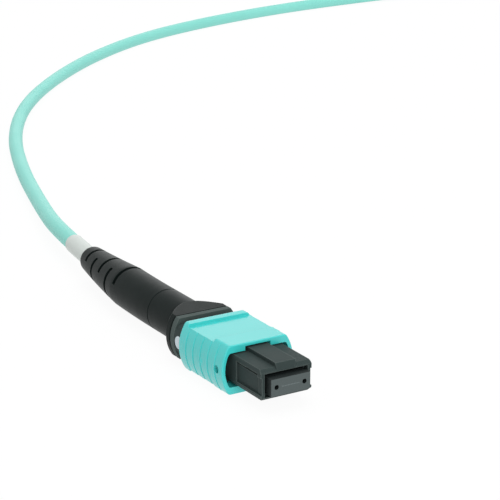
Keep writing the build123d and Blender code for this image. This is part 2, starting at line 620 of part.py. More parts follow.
# Strain-relief boot
TAIL_SECTIONS = 4
TAIL_TAPER = TAIL_LENGTH - TAIL_RIM
RIM_PLANE = tail_plane(TAIL_TAPER)
SLIT_MARGIN = 1.0
SLIT_WEB = math.radians(180 - SLIT_SPAN / 2)
WEB_REACH = 2 * (BARREL_RADIUS + SLIT_MARGIN) / math.cos(SLIT_WEB)
with BuildPart() as strain_boot:
    with BuildSketch(SIDE_VIEW):
        with BuildLine():
            Polyline(
                (BOOT_FRONT, 0),
                (BOOT_FRONT, FLANGE_RADIUS - FLANGE_EDGE_CHAMFER),
                (BOOT_FRONT + FLANGE_EDGE_CHAMFER, FLANGE_RADIUS),
                (BOOT_CONE_FRONT, FLANGE_RADIUS),
                (BOOT_CONE_REAR, BARREL_RADIUS),
                (BEND_AT, BARREL_RADIUS),
                (BEND_AT, 0),
                close=True,
            )
        make_face()
    revolve(axis=CONNECTOR_AXIS)
    with BuildSketch(SIDE_VIEW):
        for side in (-1, 1):
            with BuildLine():
                Polyline(
                    (BOOT_FRONT, side * FLANGE_FLAT),
                    (BOOT_CONE_REAR, side * BARREL_RADIUS),
                    (BOOT_CONE_REAR, side * FLANGE_RADIUS),
                    (BOOT_FRONT, side * FLANGE_RADIUS),
                    close=True,
                )
            make_face()
    extrude(amount=FLANGE_RADIUS, both=True, mode=Mode.SUBTRACT)
    with BuildSketch(tail_plane(0)):
        Circle(BARREL_RADIUS)
    revolve(axis=BEND_AXIS, revolution_arc=-math.degrees(TAPER_START / TAIL_BEND_RADIUS))
    for index in range(TAIL_SECTIONS + 1):
        with BuildSketch(tail_plane(TAPER_START + (TAIL_TAPER - TAPER_START) * index / TAIL_SECTIONS)):
            Circle(BARREL_RADIUS + (TAIL_END_RADIUS - BARREL_RADIUS) * index / TAIL_SECTIONS)
    loft()
    with BuildSketch(Plane(origin=RIM_PLANE.origin, x_dir=RIM_PLANE.z_dir, z_dir=RIM_PLANE.y_dir)):
        with BuildLine():
            RIM_ARC = RadiusArc((0, TAIL_END_RADIUS), (TAIL_RIM, TAIL_END_RADIUS - TAIL_RIM), TAIL_RIM)
            Polyline(RIM_ARC @ 1, (TAIL_RIM, 0), (0, 0), RIM_ARC @ 0)
        make_face()
    revolve(axis=Axis(RIM_PLANE.origin, RIM_PLANE.z_dir))
    with BuildSketch(station(BARREL_LINE_AT)):
        Circle(BARREL_RADIUS)
        Circle(BARREL_RADIUS - BARREL_LINE_DEPTH, mode=Mode.SUBTRACT)
    extrude(amount=-BARREL_LINE_WIDTH, mode=Mode.SUBTRACT)
    with BuildSketch(station(BOOT_FRONT)):
        Circle(NECK_RADIUS)
    extrude(amount=-(BEND_AT - BOOT_FRONT), mode=Mode.SUBTRACT)
    with BuildSketch(tail_plane(0)):
        Circle(TAIL_BORE)
    revolve(axis=BEND_AXIS, revolution_arc=-TAIL_DEGREES * BORE_OVERRUN, mode=Mode.SUBTRACT)
    for index in range(SLIT_COUNT):
        uncut = math.radians(SLIT_TURN + 180 * (index % 2 + 1))
        edges = [uncut - SLIT_WEB, uncut + SLIT_WEB]
        corners = [(WEB_REACH * math.cos(edge), WEB_REACH * math.sin(edge)) for edge in edges]
        with BuildSketch(tail_plane(SLIT_FIRST + SLIT_PITCH * index)):
            Circle(BARREL_RADIUS + SLIT_MARGIN)
            with BuildLine(mode=Mode.PRIVATE) as web_outline:
                Polyline((0, 0), *corners, close=True)
            make_face(web_outline.edges(), mode=Mode.SUBTRACT)
        extrude(amount=SLIT_WIDTH / 2, both=True, mode=Mode.SUBTRACT)
keep("strain_boot", strain_boot.part)

# Polarity dot on the housing's right-hand side, behind the sleeve
with BuildPart() as polarity_dot:
    with BuildSketch(SIDE_VIEW.offset(-BLOCK_HALF)):
        with Locations((DOT_AT, 0)):
            Circle(DOT_RADIUS)
    extrude(amount=-DOT_THICK)
keep("polarity_dot", polarity_dot.part)

# Label wrapped round the lead behind the boot
with BuildPart() as cable_label:
    with BuildSketch(tail_plane(TAIL_LENGTH).offset(LABEL_START)):
        Circle(CABLE_RADIUS + LABEL_THICK)
        Circle(CABLE_RADIUS, mode=Mode.SUBTRACT)
    extrude(amount=LABEL_LENGTH)
keep("cable_label", cable_label.part)

# The lead's route on the surface, from the boot to the coil and from the coil to the far boot
EXIT = (FACE_X - TAIL_END_STATION, TAIL_END_Y, AXIS_Z)
EXIT_RUN = 18.0
ARC_SHARE = 0.45
LOW = CABLE_RADIUS
CABLE_ROUTE = [
    EXIT,
    (EXIT[0] - EXIT_RUN * math.cos(TAIL_TURN), EXIT[1] + EXIT_RUN * math.sin(TAIL_TURN), AXIS_Z),
    (-70.5, 10.1, 1.9),
    (-99.1, 18.7, LOW),
    (-126.9, 29.3, LOW),
    (-153.0, 43.9, LOW),
    (-176.0, 62.7, LOW),
    (-196.3, 84.0, LOW),
    (-213.2, 108.3, LOW),
    (-224.3, 136.2, LOW),
    (-231.5, 165.6, LOW),
    (COIL_CENTRE[0] + OUTER_TURN, 195.0, LOW + TIE_THICK / 2),
    (COIL_CENTRE[0] + OUTER_TURN + 0.4, COIL_CENTRE[1], LOW + TIE_THICK),
]
FAR_EXIT = (COIL_CENTRE[0] - 3 * TAIL_RUN, COIL_CENTRE[1] + OUTER_TURN + 4.2, AXIS_Z)
TAIL_ROUTE = [
    (COIL_CENTRE[0], COIL_CENTRE[1] + OUTER_TURN, COIL_HEIGHT + TIE_THICK - LOW),
    (COIL_CENTRE[0] - TAIL_RUN, COIL_CENTRE[1] + OUTER_TURN + 0.3, COIL_HEIGHT - LOW),
    (FAR_EXIT[0] + TAIL_RUN * math.cos(TAIL_TURN), FAR_EXIT[1] - TAIL_RUN * math.sin(TAIL_TURN), AXIS_Z),
    FAR_EXIT,
]


def bend_radii(route):
    """Returns a tangent arc's radius for each corner of a route, from the room its two runs leave."""
    radii = []
    for before, corner, after in zip(route, route[1:], route[2:]):
        arriving = Vector(corner) - Vector(before)
        leaving = Vector(after) - Vector(corner)
        turn = math.radians(arriving.get_angle(leaving))
        radii.append(ARC_SHARE * min(arriving.length, leaving.length) / math.tan(turn / 2))
    return radii


for name, route in (("cable", CABLE_ROUTE), ("cable_tail", TAIL_ROUTE)):
    radii = bend_radii(route)
    with BuildPart() as lead:
        with BuildLine() as path:
            FilletPolyline(*route, radius=radii)
        with BuildSketch(Plane(origin=path.line @ 0, z_dir=path.line % 0)):
            Circle(CABLE_RADIUS)
        sweep()
    length = sum(edge.length for edge in path.edges())
    filled = lead.part.volume / (math.pi * CABLE_RADIUS**2 * length)
    print(name, "length", round(length, 1), "volume over section times length", round(filled, 4))
    print(name, "bend radii", [round(radius) for radius in radii])
    keep(name, lead.part)

# Coil of the put-away length, and the strap that ties it
with BuildPart() as cable_coil:
    with BuildSketch(Plane.XY.offset(TIE_THICK)):
        with Locations(COIL_CENTRE):
            Circle(COIL_OUTER)
            Circle(COIL_INNER, mode=Mode.SUBTRACT)
    extrude(amount=COIL_HEIGHT)
keep("cable_coil", cable_coil.part)

TIE_INNER = COIL_INNER * math.cos(math.asin(TIE_WIDTH / 2 / COIL_INNER))
TIE_SPAN = COIL_OUTER - TIE_INNER
TIE_PLANE = Plane(origin=(COIL_CENTRE[0], COIL_CENTRE[1], 0), x_dir=(-1, 0, 0), z_dir=(0, 1, 0))
with BuildPart() as coil_tie:
    with BuildSketch(TIE_PLANE):
        with Locations((TIE_INNER + TIE_SPAN / 2, TIE_THICK + COIL_HEIGHT / 2)):
            Rectangle(TIE_SPAN + 2 * TIE_THICK, COIL_HEIGHT + 2 * TIE_THICK)
            Rectangle(TIE_SPAN, COIL_HEIGHT, mode=Mode.SUBTRACT)
    extrude(amount=TIE_WIDTH / 2, both=True)
keep("coil_tie", coil_tie.part)

# The far connector: the same outer pieces, turned to face the other way
FAR_PLACE = Location((FAR_EXIT[0] + EXIT[0], FAR_EXIT[1] + EXIT[1], 0), (0, 0, 180))
FAR_PIECES = {
    "far_housing": inner_housing,
    "far_sleeve": coupling_sleeve,
    "far_ferrule": ferrule,
    "far_spring_push": spring_push,
    "far_boot": strain_boot,
    "far_dot": polarity_dot,
    "far_label": cable_label,
}
for name, source in FAR_PIECES.items():
    keep(name, source.part.moved(FAR_PLACE))

print("face x", round(FACE_X, 3), "axis z", AXIS_Z, "exit", [round(value, 3) for value in EXIT])
print("overall", round(OVERALL, 3), "far place", FAR_PLACE.position)
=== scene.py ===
"""A push-on multi-fibre connector on its round lead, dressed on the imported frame.

Objects are in metres in the frame's axes: +X out of the nose, +Y to the left and +Z up, with z = 0 the
surface that it lies on. The lead and the studio are written in metres, the other pieces in millimetres. A
point of a connector is (station, left, up): the station is the distance behind the ferrule's end face, and
left and up are measured from the connector's axis.
"""

import logging
import math
from dataclasses import dataclass
from enum import Enum

import bmesh
import bpy
import numpy as np
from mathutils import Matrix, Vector


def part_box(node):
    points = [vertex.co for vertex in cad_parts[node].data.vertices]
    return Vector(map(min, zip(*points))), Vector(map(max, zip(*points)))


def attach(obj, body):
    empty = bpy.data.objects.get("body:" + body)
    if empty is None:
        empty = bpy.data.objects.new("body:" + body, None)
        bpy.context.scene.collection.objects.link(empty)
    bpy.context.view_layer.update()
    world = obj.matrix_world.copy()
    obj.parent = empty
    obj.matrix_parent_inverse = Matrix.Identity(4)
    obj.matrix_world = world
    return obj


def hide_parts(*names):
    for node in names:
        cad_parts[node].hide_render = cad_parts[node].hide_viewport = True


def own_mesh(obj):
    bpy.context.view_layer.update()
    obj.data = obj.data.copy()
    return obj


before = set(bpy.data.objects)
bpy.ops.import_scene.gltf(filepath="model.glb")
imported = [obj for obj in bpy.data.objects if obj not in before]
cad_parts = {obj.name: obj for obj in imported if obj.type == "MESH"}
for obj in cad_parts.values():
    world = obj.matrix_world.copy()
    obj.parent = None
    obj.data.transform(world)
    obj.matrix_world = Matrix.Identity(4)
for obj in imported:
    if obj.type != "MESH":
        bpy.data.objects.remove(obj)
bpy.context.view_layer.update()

LOG = logging.getLogger("connector")
MM = 0.001
SHARP_ANGLE = math.radians(32.0)
# Points nearer than this, in metres, are one point.
WELD = 1e-7
# Rays that look for an edge from each point of a piece with softened edges or a painted highlight on them.
EDGE_SAMPLES = 6
WHITE = (1.0, 1.0, 1.0, 1.0)
Grid = np.ndarray


class Heading(Enum):
    """The way a connector's nose points along X."""

    FORWARD = 1.0
    BACK = -1.0


class Seam(Enum):
    """How a grid of points closes on itself."""

    TUBE = "columns"
    RING = "rows and columns"


def linear(colour: str) -> tuple[float, float, float, float]:
    """Turns an sRGB hex colour into linear light.

    Each channel c becomes c / 12.92 up to 0.04045, and ((c + 0.055) / 1.055) ** 2.4 above it.

    Args:
        colour: six hex digits after a hash.

    Returns:
        Red, green, blue and a full alpha.
    """
    channels = [int(colour[start:start + 2], 16) / 255 for start in (1, 3, 5)]
    light = [c / 12.92 if c <= 0.04045 else ((c + 0.055) / 1.055) ** 2.4 for c in channels]
    return (light[0], light[1], light[2], 1.0)


def add_node(
    tree: bpy.types.NodeTree,
    kind: str,
    settings: dict[str, object] | None = None,
    inputs: dict[str | int, object] | None = None,
) -> bpy.types.Node:
    """Adds one node, sets its properties, and fills its inputs from values or from other nodes' outputs.

    Args:
        tree: the node tree that takes the node.
        kind: the node's type.
        settings: properties of the node by name.
        inputs: values or output sockets by the input's name or number.

    Returns:
        The new node.
    """
    node = tree.nodes.new(kind)
    for name, value in (settings or {}).items():
        setattr(node, name, value)
    for key, value in (inputs or {}).items():
        if isinstance(value, bpy.types.NodeSocket):
            tree.links.new(value, node.inputs[key])
        else:
            node.inputs[key].default_value = value
    return node


def per_metre(size_mm: float) -> float:
    """Returns the texture scale at which one feature is this many millimetres."""
    return 1.0 / (size_mm * MM)


def new_material(name: str) -> tuple[bpy.types.Material, bpy.types.NodeTree]:
    """Makes a material whose node tree is still empty.

    Args:
        name: the material's name.

    Returns:
        The material and its tree.
    """
    material = bpy.data.materials.new(name)
    material.use_nodes = True
    material.node_tree.nodes.clear()
    return material, material.node_tree


def seen_rays(tree: bpy.types.NodeTree) -> bpy.types.NodeSocket:
    """Tells rays that show a background from those that only carry its light.

    Args:
        tree: the background's node tree.

    Returns:
        An output that is 1 for the camera's, mirrored and transmitted rays, and 0 for the others.
    """
    path = add_node(tree, "ShaderNodeLightPath").outputs
    seen = path["Is Camera Ray"]
    for ray in ("Is Glossy Ray", "Is Transmission Ray"):
        seen = add_node(
            tree, "ShaderNodeMath", {"operation": "MAXIMUM"}, {0: seen, 1: path[ray]}
        ).outputs[0]
    return seen


def into_scene(name: str, data: bpy.types.ID) -> bpy.types.Object:
    """Makes an object from its data and puts it into the scene.

    Args:
        name: the object's name.
        data: its mesh, curve, light or camera.

    Returns:
        The object, at the origin.
    """
    thing = bpy.data.objects.new(name, data)
    bpy.context.scene.collection.objects.link(thing)
    return thing


def final_mesh(piece: bpy.types.Object) -> bpy.types.Mesh:
    """Returns a new mesh of the piece, as its modifiers or its curve give it."""
    bpy.context.view_layer.update()
    return bpy.data.meshes.new_from_object(piece.evaluated_get(bpy.context.evaluated_depsgraph_get()))


@dataclass(frozen=True)
class Moulding:
    """A moulded or extruded plastic or rubber: two close colours in soft clouds, under a fine eroded grain.

    Attributes:
        name: the material's name, from what it is and how it was made.
        colour: the main colour.
        cloud: the colour it drifts towards.
        cloud_mm: size of the colour's drift.
        cloud_detail: how many finer drifts lie in it.
        roughness: middle roughness.
        spread: how far the roughness drifts each way.
        grain_mm: size of the surface's grain, drawn coarser than the real one so that it shows.
        grain_detail: how many finer grains lie in it.
        grain_depth_mm: height of the grain.
        edge_mm: radius that softens the edges of a solid, or none.
        ior: index of refraction.
        specular: specular level.
        end_colour: the colour of faces across X, where an end was lapped through the skin, or none.
        lapped_from: the square of a normal's part along X from which its face counts as an end.
        painted_edge_highlight: the lighter colour of a painted highlight on outer edges, where light would
            catch them, or none.
        edge_share: how far the edges go to that colour.
        edge_reach_mm: how far in from an edge the painted highlight reaches.
        edge_bite: how much of the reach is cut off by an edge where the painted highlight starts and where
            it is whole.
    """

    name: str
    colour: str
    cloud: str
    cloud_mm: float = 4.0
    cloud_detail: float = 3.0
    roughness: float = 0.45
    spread: float = 0.05
    grain_mm: float = 0.12
    grain_detail: float = 2.0
    grain_depth_mm: float = 0.004
    edge_mm: float = 0.0
    ior: float = 1.5
    specular: float = 0.5
    end_colour: str = ""
    lapped_from: float = 0.8
    painted_edge_highlight: str = ""
    edge_share: float = 0.3
    edge_reach_mm: float = 0.135
    edge_bite: tuple[float, float] = (0.05, 0.4)

    def make(self) -> bpy.types.Material:
        """Builds the material's nodes: colours laid over each other, then the gloss and the relief.

        Returns:
            The material.
        """
        material, tree = new_material(self.name)
        place = add_node(tree, "ShaderNodeTexCoord").outputs["Object"]
        cloud, grain = [
            add_node(
                tree,
                "ShaderNodeTexNoise",
                None,
                {"Vector": place, "Scale": per_metre(size), "Detail": detail},
            ).outputs["Fac"]
            for size, detail in ((self.cloud_mm, self.cloud_detail), (self.grain_mm, self.grain_detail))
        ]
        layers = [(cloud, self.cloud)]
        if self.end_colour:
            facing = add_node(tree, "ShaderNodeNewGeometry").outputs["Normal"]
            along = add_node(tree, "ShaderNodeSeparateXYZ", None, {0: facing}).outputs["X"]
            square = add_node(
                tree, "ShaderNodeMath", {"operation": "MULTIPLY"}, {0: along, 1: along}
            ).outputs[0]
            lapped = add_node(
                tree, "ShaderNodeMath", {"operation": "GREATER_THAN"}, {0: square, 1: self.lapped_from}
            ).outputs[0]
            layers.append((lapped, self.end_colour))
        # Painted highlight: outer edges, found by rays cast inward, are lightened as if light caught them.
        if self.painted_edge_highlight:
            depth = add_node(
                tree,
                "ShaderNodeAmbientOcclusion",
                {"inside": True, "only_local": True, "samples": EDGE_SAMPLES},
                {"Distance": self.edge_reach_mm * MM},
            ).outputs["AO"]
            painted_highlight = add_node(
                tree,
                "ShaderNodeMapRange",
                None,
                {
                    "Value": depth,
                    "From Min": 1 - self.edge_bite[0],
                    "From Max": 1 - self.edge_bite[1],
                    "To Max": self.edge_share,
                },
            ).outputs["Result"]
            layers.append((painted_highlight, self.painted_edge_highlight))
        tint = linear(self.colour)
        for share, colour in layers:
            tint = add_node(
                tree, "ShaderNodeMix", {"data_type": "RGBA"}, {0: share, 6: tint, 7: linear(colour)}
            ).outputs[2]
        gloss = add_node(
            tree,
            "ShaderNodeMapRange",
            None,
            {"Value": cloud, "To Min": self.roughness - self.spread, "To Max": self.roughness + self.spread},
        ).outputs["Result"]
        bumps = {"Height": grain, "Strength": 1.0, "Distance": self.grain_depth_mm * MM}
        if self.edge_mm > 0:
            bumps["Normal"] = add_node(
                tree, "ShaderNodeBevel", {"samples": EDGE_SAMPLES}, {"Radius": self.edge_mm * MM}
            ).outputs["Normal"]
        relief = add_node(tree, "ShaderNodeBump", None, bumps).outputs["Normal"]
        shader = add_node(
            tree,
            "ShaderNodeBsdfPrincipled",
            None,
            {
                "Base Color": tint,
                "Roughness": gloss,
                "Normal": relief,
                "IOR": self.ior,
                "Specular IOR Level": self.specular,
            },
        )
        add_node(tree, "ShaderNodeOutputMaterial", None, {"Surface": shader.outputs[0]})
        return material


@dataclass(frozen=True)
class DrawnMetal:
    """A drawn or turned metal: fine lines along the draw break its gloss.

    Attributes:
        name: the material's name.
        colour: the metal's colour.
        roughness: middle roughness.
        line_mm: spacing of the drawing lines.
        stretch: how many times longer than its spacing a line is.
        swing: the share by which the lines change the roughness each way.
        detail: how many finer lines lie between them.
    """

    name: str
    colour: str
    roughness: float
    line_mm: float
    stretch: float = 20.0
    swing: float = 0.3
    detail: float = 3.0

    def make(self) -> bpy.types.Material:
        """Builds the material's nodes.

        Returns:
            The material.
        """
        material, tree = new_material(self.name)
        place = add_node(tree, "ShaderNodeTexCoord").outputs["Object"]
        drawn = add_node(
            tree, "ShaderNodeMapping", None, {"Vector": place, "Scale": (1 / self.stretch, 1.0, 1.0)}
        ).outputs["Vector"]
        lines = add_node(
            tree,
            "ShaderNodeTexNoise",
            None,
            {"Vector": drawn, "Scale": per_metre(self.line_mm), "Detail": self.detail},
        ).outputs["Fac"]
        gloss = add_node(
            tree,
            "ShaderNodeMapRange",
            None,
            {
                "Value": lines,
                "To Min": self.roughness * (1 - self.swing),
                "To Max": self.roughness * (1 + self.swing),
            },
        ).outputs["Result"]
        shader = add_node(
            tree,
            "ShaderNodeBsdfPrincipled",
            None,
            {"Base Color": linear(self.colour), "Roughness": gloss, "Metallic": 1.0},
        )
        add_node(tree, "ShaderNodeOutputMaterial", None, {"Surface": shader.outputs[0]})
        return material


@dataclass(frozen=True)
class Fibrous:
    """Yarn or woven strap: crossing waves stand for its filaments or threads.

    Attributes:
        name: the material's name.
        colour: the thread's colour.
        gap: the colour between threads.
        thread_mm: spacing of the threads.
        roughness: roughness of the threads.
        waver: how far the threads stray from straight.
        relief: the threads' height as a share of their spacing.
        strength: how far that height tilts the surface.
        sheen: the loose fibres' sheen.
    """

    name: str
    colour: str
    gap: str
    thread_mm: float
    roughness: float
    waver: float = 0.6
    relief: float = 0.3
    strength: float = 0.8
    sheen: float = 0.3

    def make(self) -> bpy.types.Material:
        """Builds the material's nodes.

        Returns:
            The material.
        """
        material, tree = new_material(self.name)
        place = add_node(tree, "ShaderNodeTexCoord").outputs["Object"]
        # A wave texture at scale 1 repeats every tenth of pi along its direction.
        scale = math.pi / 10 * per_metre(self.thread_mm)
        across, along = [
            add_node(
                tree,
                "ShaderNodeTexWave",
                {"bands_direction": direction},
                {"Vector": place, "Scale": scale, "Distortion": self.waver},
            ).outputs["Fac"]
            for direction in "YZ"
        ]
        weave = add_node(
            tree, "ShaderNodeMath", {"operation": "MULTIPLY"}, {0: across, 1: along}
        ).outputs[0]
        tint = add_node(
            tree,
            "ShaderNodeMix",
            {"data_type": "RGBA"},
            {0: weave, 6: linear(self.gap), 7: linear(self.colour)},
        ).outputs[2]
        relief = add_node(
            tree,
            "ShaderNodeBump",
            None,
            {"Height": weave, "Strength": self.strength, "Distance": self.thread_mm * self.relief * MM},
        ).outputs["Normal"]
        shader = add_node(
            tree,
            "ShaderNodeBsdfPrincipled",
            None,
            {"Base Color": tint, "Roughness": self.roughness, "Normal": relief, "Sheen Weight": self.sheen},
        )
        add_node(tree, "ShaderNodeOutputMaterial", None, {"Surface": shader.outputs[0]})
        return material


class Finish(Enum):
    """Every finish on the object."""

    # Glass-filled polyetherimide, moulded: dark grey-black with a low satin gloss and softened edges.
    # Its outer edges carry a painted highlight, a lighter grey where light would catch them.
    HOUSING = Moulding(
        "polyetherimide_moulded_black",
        "#353F3E",
        "#303A39",
        roughness=0.55,
        edge_mm=0.09,
        specular=0.08,
        painted_edge_highlight="#7C8784",
    )
    # The same resin as the nose, in a paler, flatter black: painted light, a lit copy of the housing's
    # finish for the brighter collar. Its outer edges carry a painted highlight too.
    COLLAR = Moulding(
        "polyetherimide_moulded_painted_lighter",
        "#4D5755",
        "#485250",
        roughness=0.6,
        edge_mm=0.09,
        specular=0.04,
        painted_edge_highlight="#7C8784",
    )
    # Polybutylene terephthalate, moulded in aqua: an even satin that whitens at a low angle.
    SLEEVE = Moulding(
        "pbt_moulded_aqua",
        "#3CC4C1",
        "#37BFBC",
        cloud_mm=6.0,
        roughness=0.2,
        grain_depth_mm=0.0003,
        edge_mm=0.06,
        specular=0.6,
    )
    # Thermoplastic elastomer, moulded: a softer, duller black than the housing.
    BOOT = Moulding(
        "elastomer_moulded_black",
        "#181F1E",
        "#111817",
        cloud_mm=1.5,
        roughness=0.38,
        specular=0.06,
    )
    # Glass-filled polyphenylene sulphide, its end lapped: near black, and dark grey where it is cut.
    FERRULE = Moulding(
        "pps_glass_filled_lapped",
        "#1B2121",
        "#212727",
        roughness=0.5,
        edge_mm=0.04,
        specular=0.3,
        end_colour="#475050",
    )
    # Low-smoke jacket compound, extruded: matt aqua with a faint drift in colour along the run.
    JACKET = Moulding(
        "jacket_compound_extruded_aqua",
        "#83D0C5",
        "#7CCABF",
        cloud_mm=9.0,
        grain_depth_mm=0.00004,
        specular=0.25,
    )
    # Polyester film, blank: white and smooth, with a low gloss.
    LABEL = Moulding(
        "polyester_film_white",
        "#C6CDC9",
        "#C0C7C3",
        cloud_mm=2.0,
        roughness=0.4,
        specular=0.25,
    )
    # Pad-printed ink: a chalky bluish white.
    DOT = Moulding("pad_printed_ink_white", "#C9D6DC", "#BECCD3", cloud_mm=0.8, roughness=0.55)
    # Polyamide, moulded: an even black with soft edges.
    KEEPER = Moulding("polyamide_moulded_black", "#1D1F20", "#242627", edge_mm=0.06)
    # Silicone rubber, moulded: a dull pale grey.
    SILICONE = Moulding("silicone_moulded_grey", "#BFC0BA", "#B3B4AE", roughness=0.6)
    # Acrylate, coated over a row of fibres: a glossy aqua with a fine drift.
    RIBBON = Moulding("acrylate_ribbon_coated", "#6FCFC0", "#7CD8CA", cloud_mm=0.25, roughness=0.25)
    # Silica fibre, cleaved: cool grey spots that shine more than the face round them.
    GLASS = Moulding("silica_fibre_cleaved", "#6C7779", "#737E80", cloud_mm=0.1, roughness=0.15, ior=1.45)
    # Stainless wire, drawn: a bright grey with fine lines along the draw.
    SPRING = DrawnMetal("stainless_wire_drawn", "#B9BABB", roughness=0.28, line_mm=0.03)
    # Brass, turned and nickel plated: a warm silver with faint lines.
    CRIMP = DrawnMetal("brass_turned_nickel_plated", "#C9C5BC", roughness=0.25, line_mm=0.05)
    # Aramid yarn, laid straight: golden filaments with darker gaps.
    YARN = Fibrous("aramid_yarn_laid", "#D9B64A", "#9A7C26", thread_mm=0.12, roughness=0.6)
    # Nylon strap, woven: a matt black with a slight sheen on its threads.
    STRAP = Fibrous("nylon_strap_woven", "#1E2122", "#0C0D0D", thread_mm=0.45, roughness=0.8)


NODE_FINISHES: dict[str, Finish] = {
    "inner_housing": Finish.HOUSING,
    "far_housing": Finish.HOUSING,
    "spring_push": Finish.COLLAR,
    "far_spring_push": Finish.COLLAR,
    "ferrule": Finish.FERRULE,
    "far_ferrule": Finish.FERRULE,
    "fibre_array": Finish.GLASS,
    "ferrule_boot": Finish.SILICONE,
    "pin_keeper": Finish.KEEPER,
    "fibre_ribbon": Finish.RIBBON,
    "aramid_yarn": Finish.YARN,
    "crimp_ring": Finish.CRIMP,
    "jacket_end": Finish.JACKET,
}


class Paints:
    """Keeps one material for each finish."""

    def __init__(self) -> None:
        """Starts with no material made."""
        self.made: dict[Finish, bpy.types.Material] = {}

    def get(self, finish: Finish) -> bpy.types.Material:
        """Gives a finish's material, made on first use.

        Args:
            finish: the finish.

        Returns:
            Its material.
        """
        if finish not in self.made:
            self.made[finish] = finish.value.make()
        return self.made[finish]


def skin(name: str, grid: Grid, seam: Seam, capped: bool = False) -> bpy.types.Object:
    """Makes a closed mesh from a grid of points.

    Each cell of the grid is one face. The last column joins the first. In a ring the last row joins the
    first too, and otherwise the end rows may be closed with a flat face each.

    Args:
        name: the object's name.
        grid: points in metres, rows by columns by three.
        seam: how the grid closes.
        capped: whether the end rows are closed.

    Returns:
        The object, at the origin.
    """
    rows, columns = grid.shape[:2]
    index = np.arange(rows * columns).reshape(rows, columns)
    caps = [index[0].tolist(), index[-1][::-1].tolist()] if capped else []
    index = np.hstack((index, index[:, :1]))
    if seam is Seam.RING:
        index = np.vstack((index, index[:1]))
    corners = (index[:-1, :-1], index[1:, :-1], index[1:, 1:], index[:-1, 1:])
    cells = np.stack(corners, axis=-1).reshape(-1, 4)
    mesh = bpy.data.meshes.new(name)
    mesh.from_pydata(grid.reshape(-1, 3).tolist(), [], cells.tolist() + caps)
    shell = bmesh.new()
    shell.from_mesh(mesh)
    bmesh.ops.remove_doubles(shell, verts=shell.verts, dist=WELD)
    bmesh.ops.recalc_face_normals(shell, faces=shell.faces)
    shell.to_mesh(mesh)
    shell.free()
    mesh.shade_smooth()
    mesh.set_sharp_from_angle(angle=SHARP_ANGLE)
    return into_scene(name, mesh)


def quarter_round(points: int) -> tuple[Grid, Grid]:
    """Returns a quarter circle's run and rise, each from 0 to 1: 1 - cos and sin of an even angle."""
    angle = np.linspace(0, math.pi / 2, points)
    return 1 - np.cos(angle), np.sin(angle)


def spokes(ahead: Grid, square_to: tuple[float, float, float], angle: Grid) -> Grid:
    """Works out unit spokes that stand square to a line.

    The line's side is square to it and to the given direction, and what is over it is square to both. A
    spoke is cos of its angle times the side, plus sin of it times what is over the line.

    Args:
        ahead: the line's direction at each point, of any length.
        square_to: the direction that the sides are square to.
        angle: the spokes' angles.

    Returns:
        Spokes, points by angles by three.
    """
    ahead = ahead / np.linalg.norm(ahead, axis=1, keepdims=True)
    side = np.cross(square_to, ahead)
    side /= np.linalg.norm(side, axis=1, keepdims=True)
    over = np.cross(ahead, side)
    return side[:, None] * np.cos(angle)[:, None] + over[:, None] * np.sin(angle)[:, None]


@dataclass(frozen=True)
class Placement:
    """Where a connector lies.

    Attributes:
        face: the middle of the ferrule's end face, in metres.
        heading: the way its nose points.
    """

    face: tuple[float, float, float]
    heading: Heading

    @classmethod
    def of(cls, ferrule: str, heading: Heading) -> "Placement":
        """Reads the place from a ferrule's box.

        Args:
            ferrule: the ferrule's node.
            heading: the way its nose points.

        Returns:
            The connector's place.
        """
        low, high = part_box(ferrule)
        end = high[0] if heading is Heading.FORWARD else low[0]
        return cls((end, (low[1] + high[1]) / 2, (low[2] + high[2]) / 2), heading)

    def points(self, station: Grid, left: Grid, up: Grid) -> Grid:
        """Turns millimetres on the connector into metres in the frame.

        Args:
            station: distances behind the ferrule's face.
            left: distances to the left of the axis.
            up: heights above the axis.

        Returns:
            Points with three values each, in the arrays' common shape.
        """
        station, left, up = np.broadcast_arrays(station, left, up)
        turn = self.heading.value
        return np.asarray(self.face) + np.stack((-turn * station, turn * left, up), axis=-1) * MM


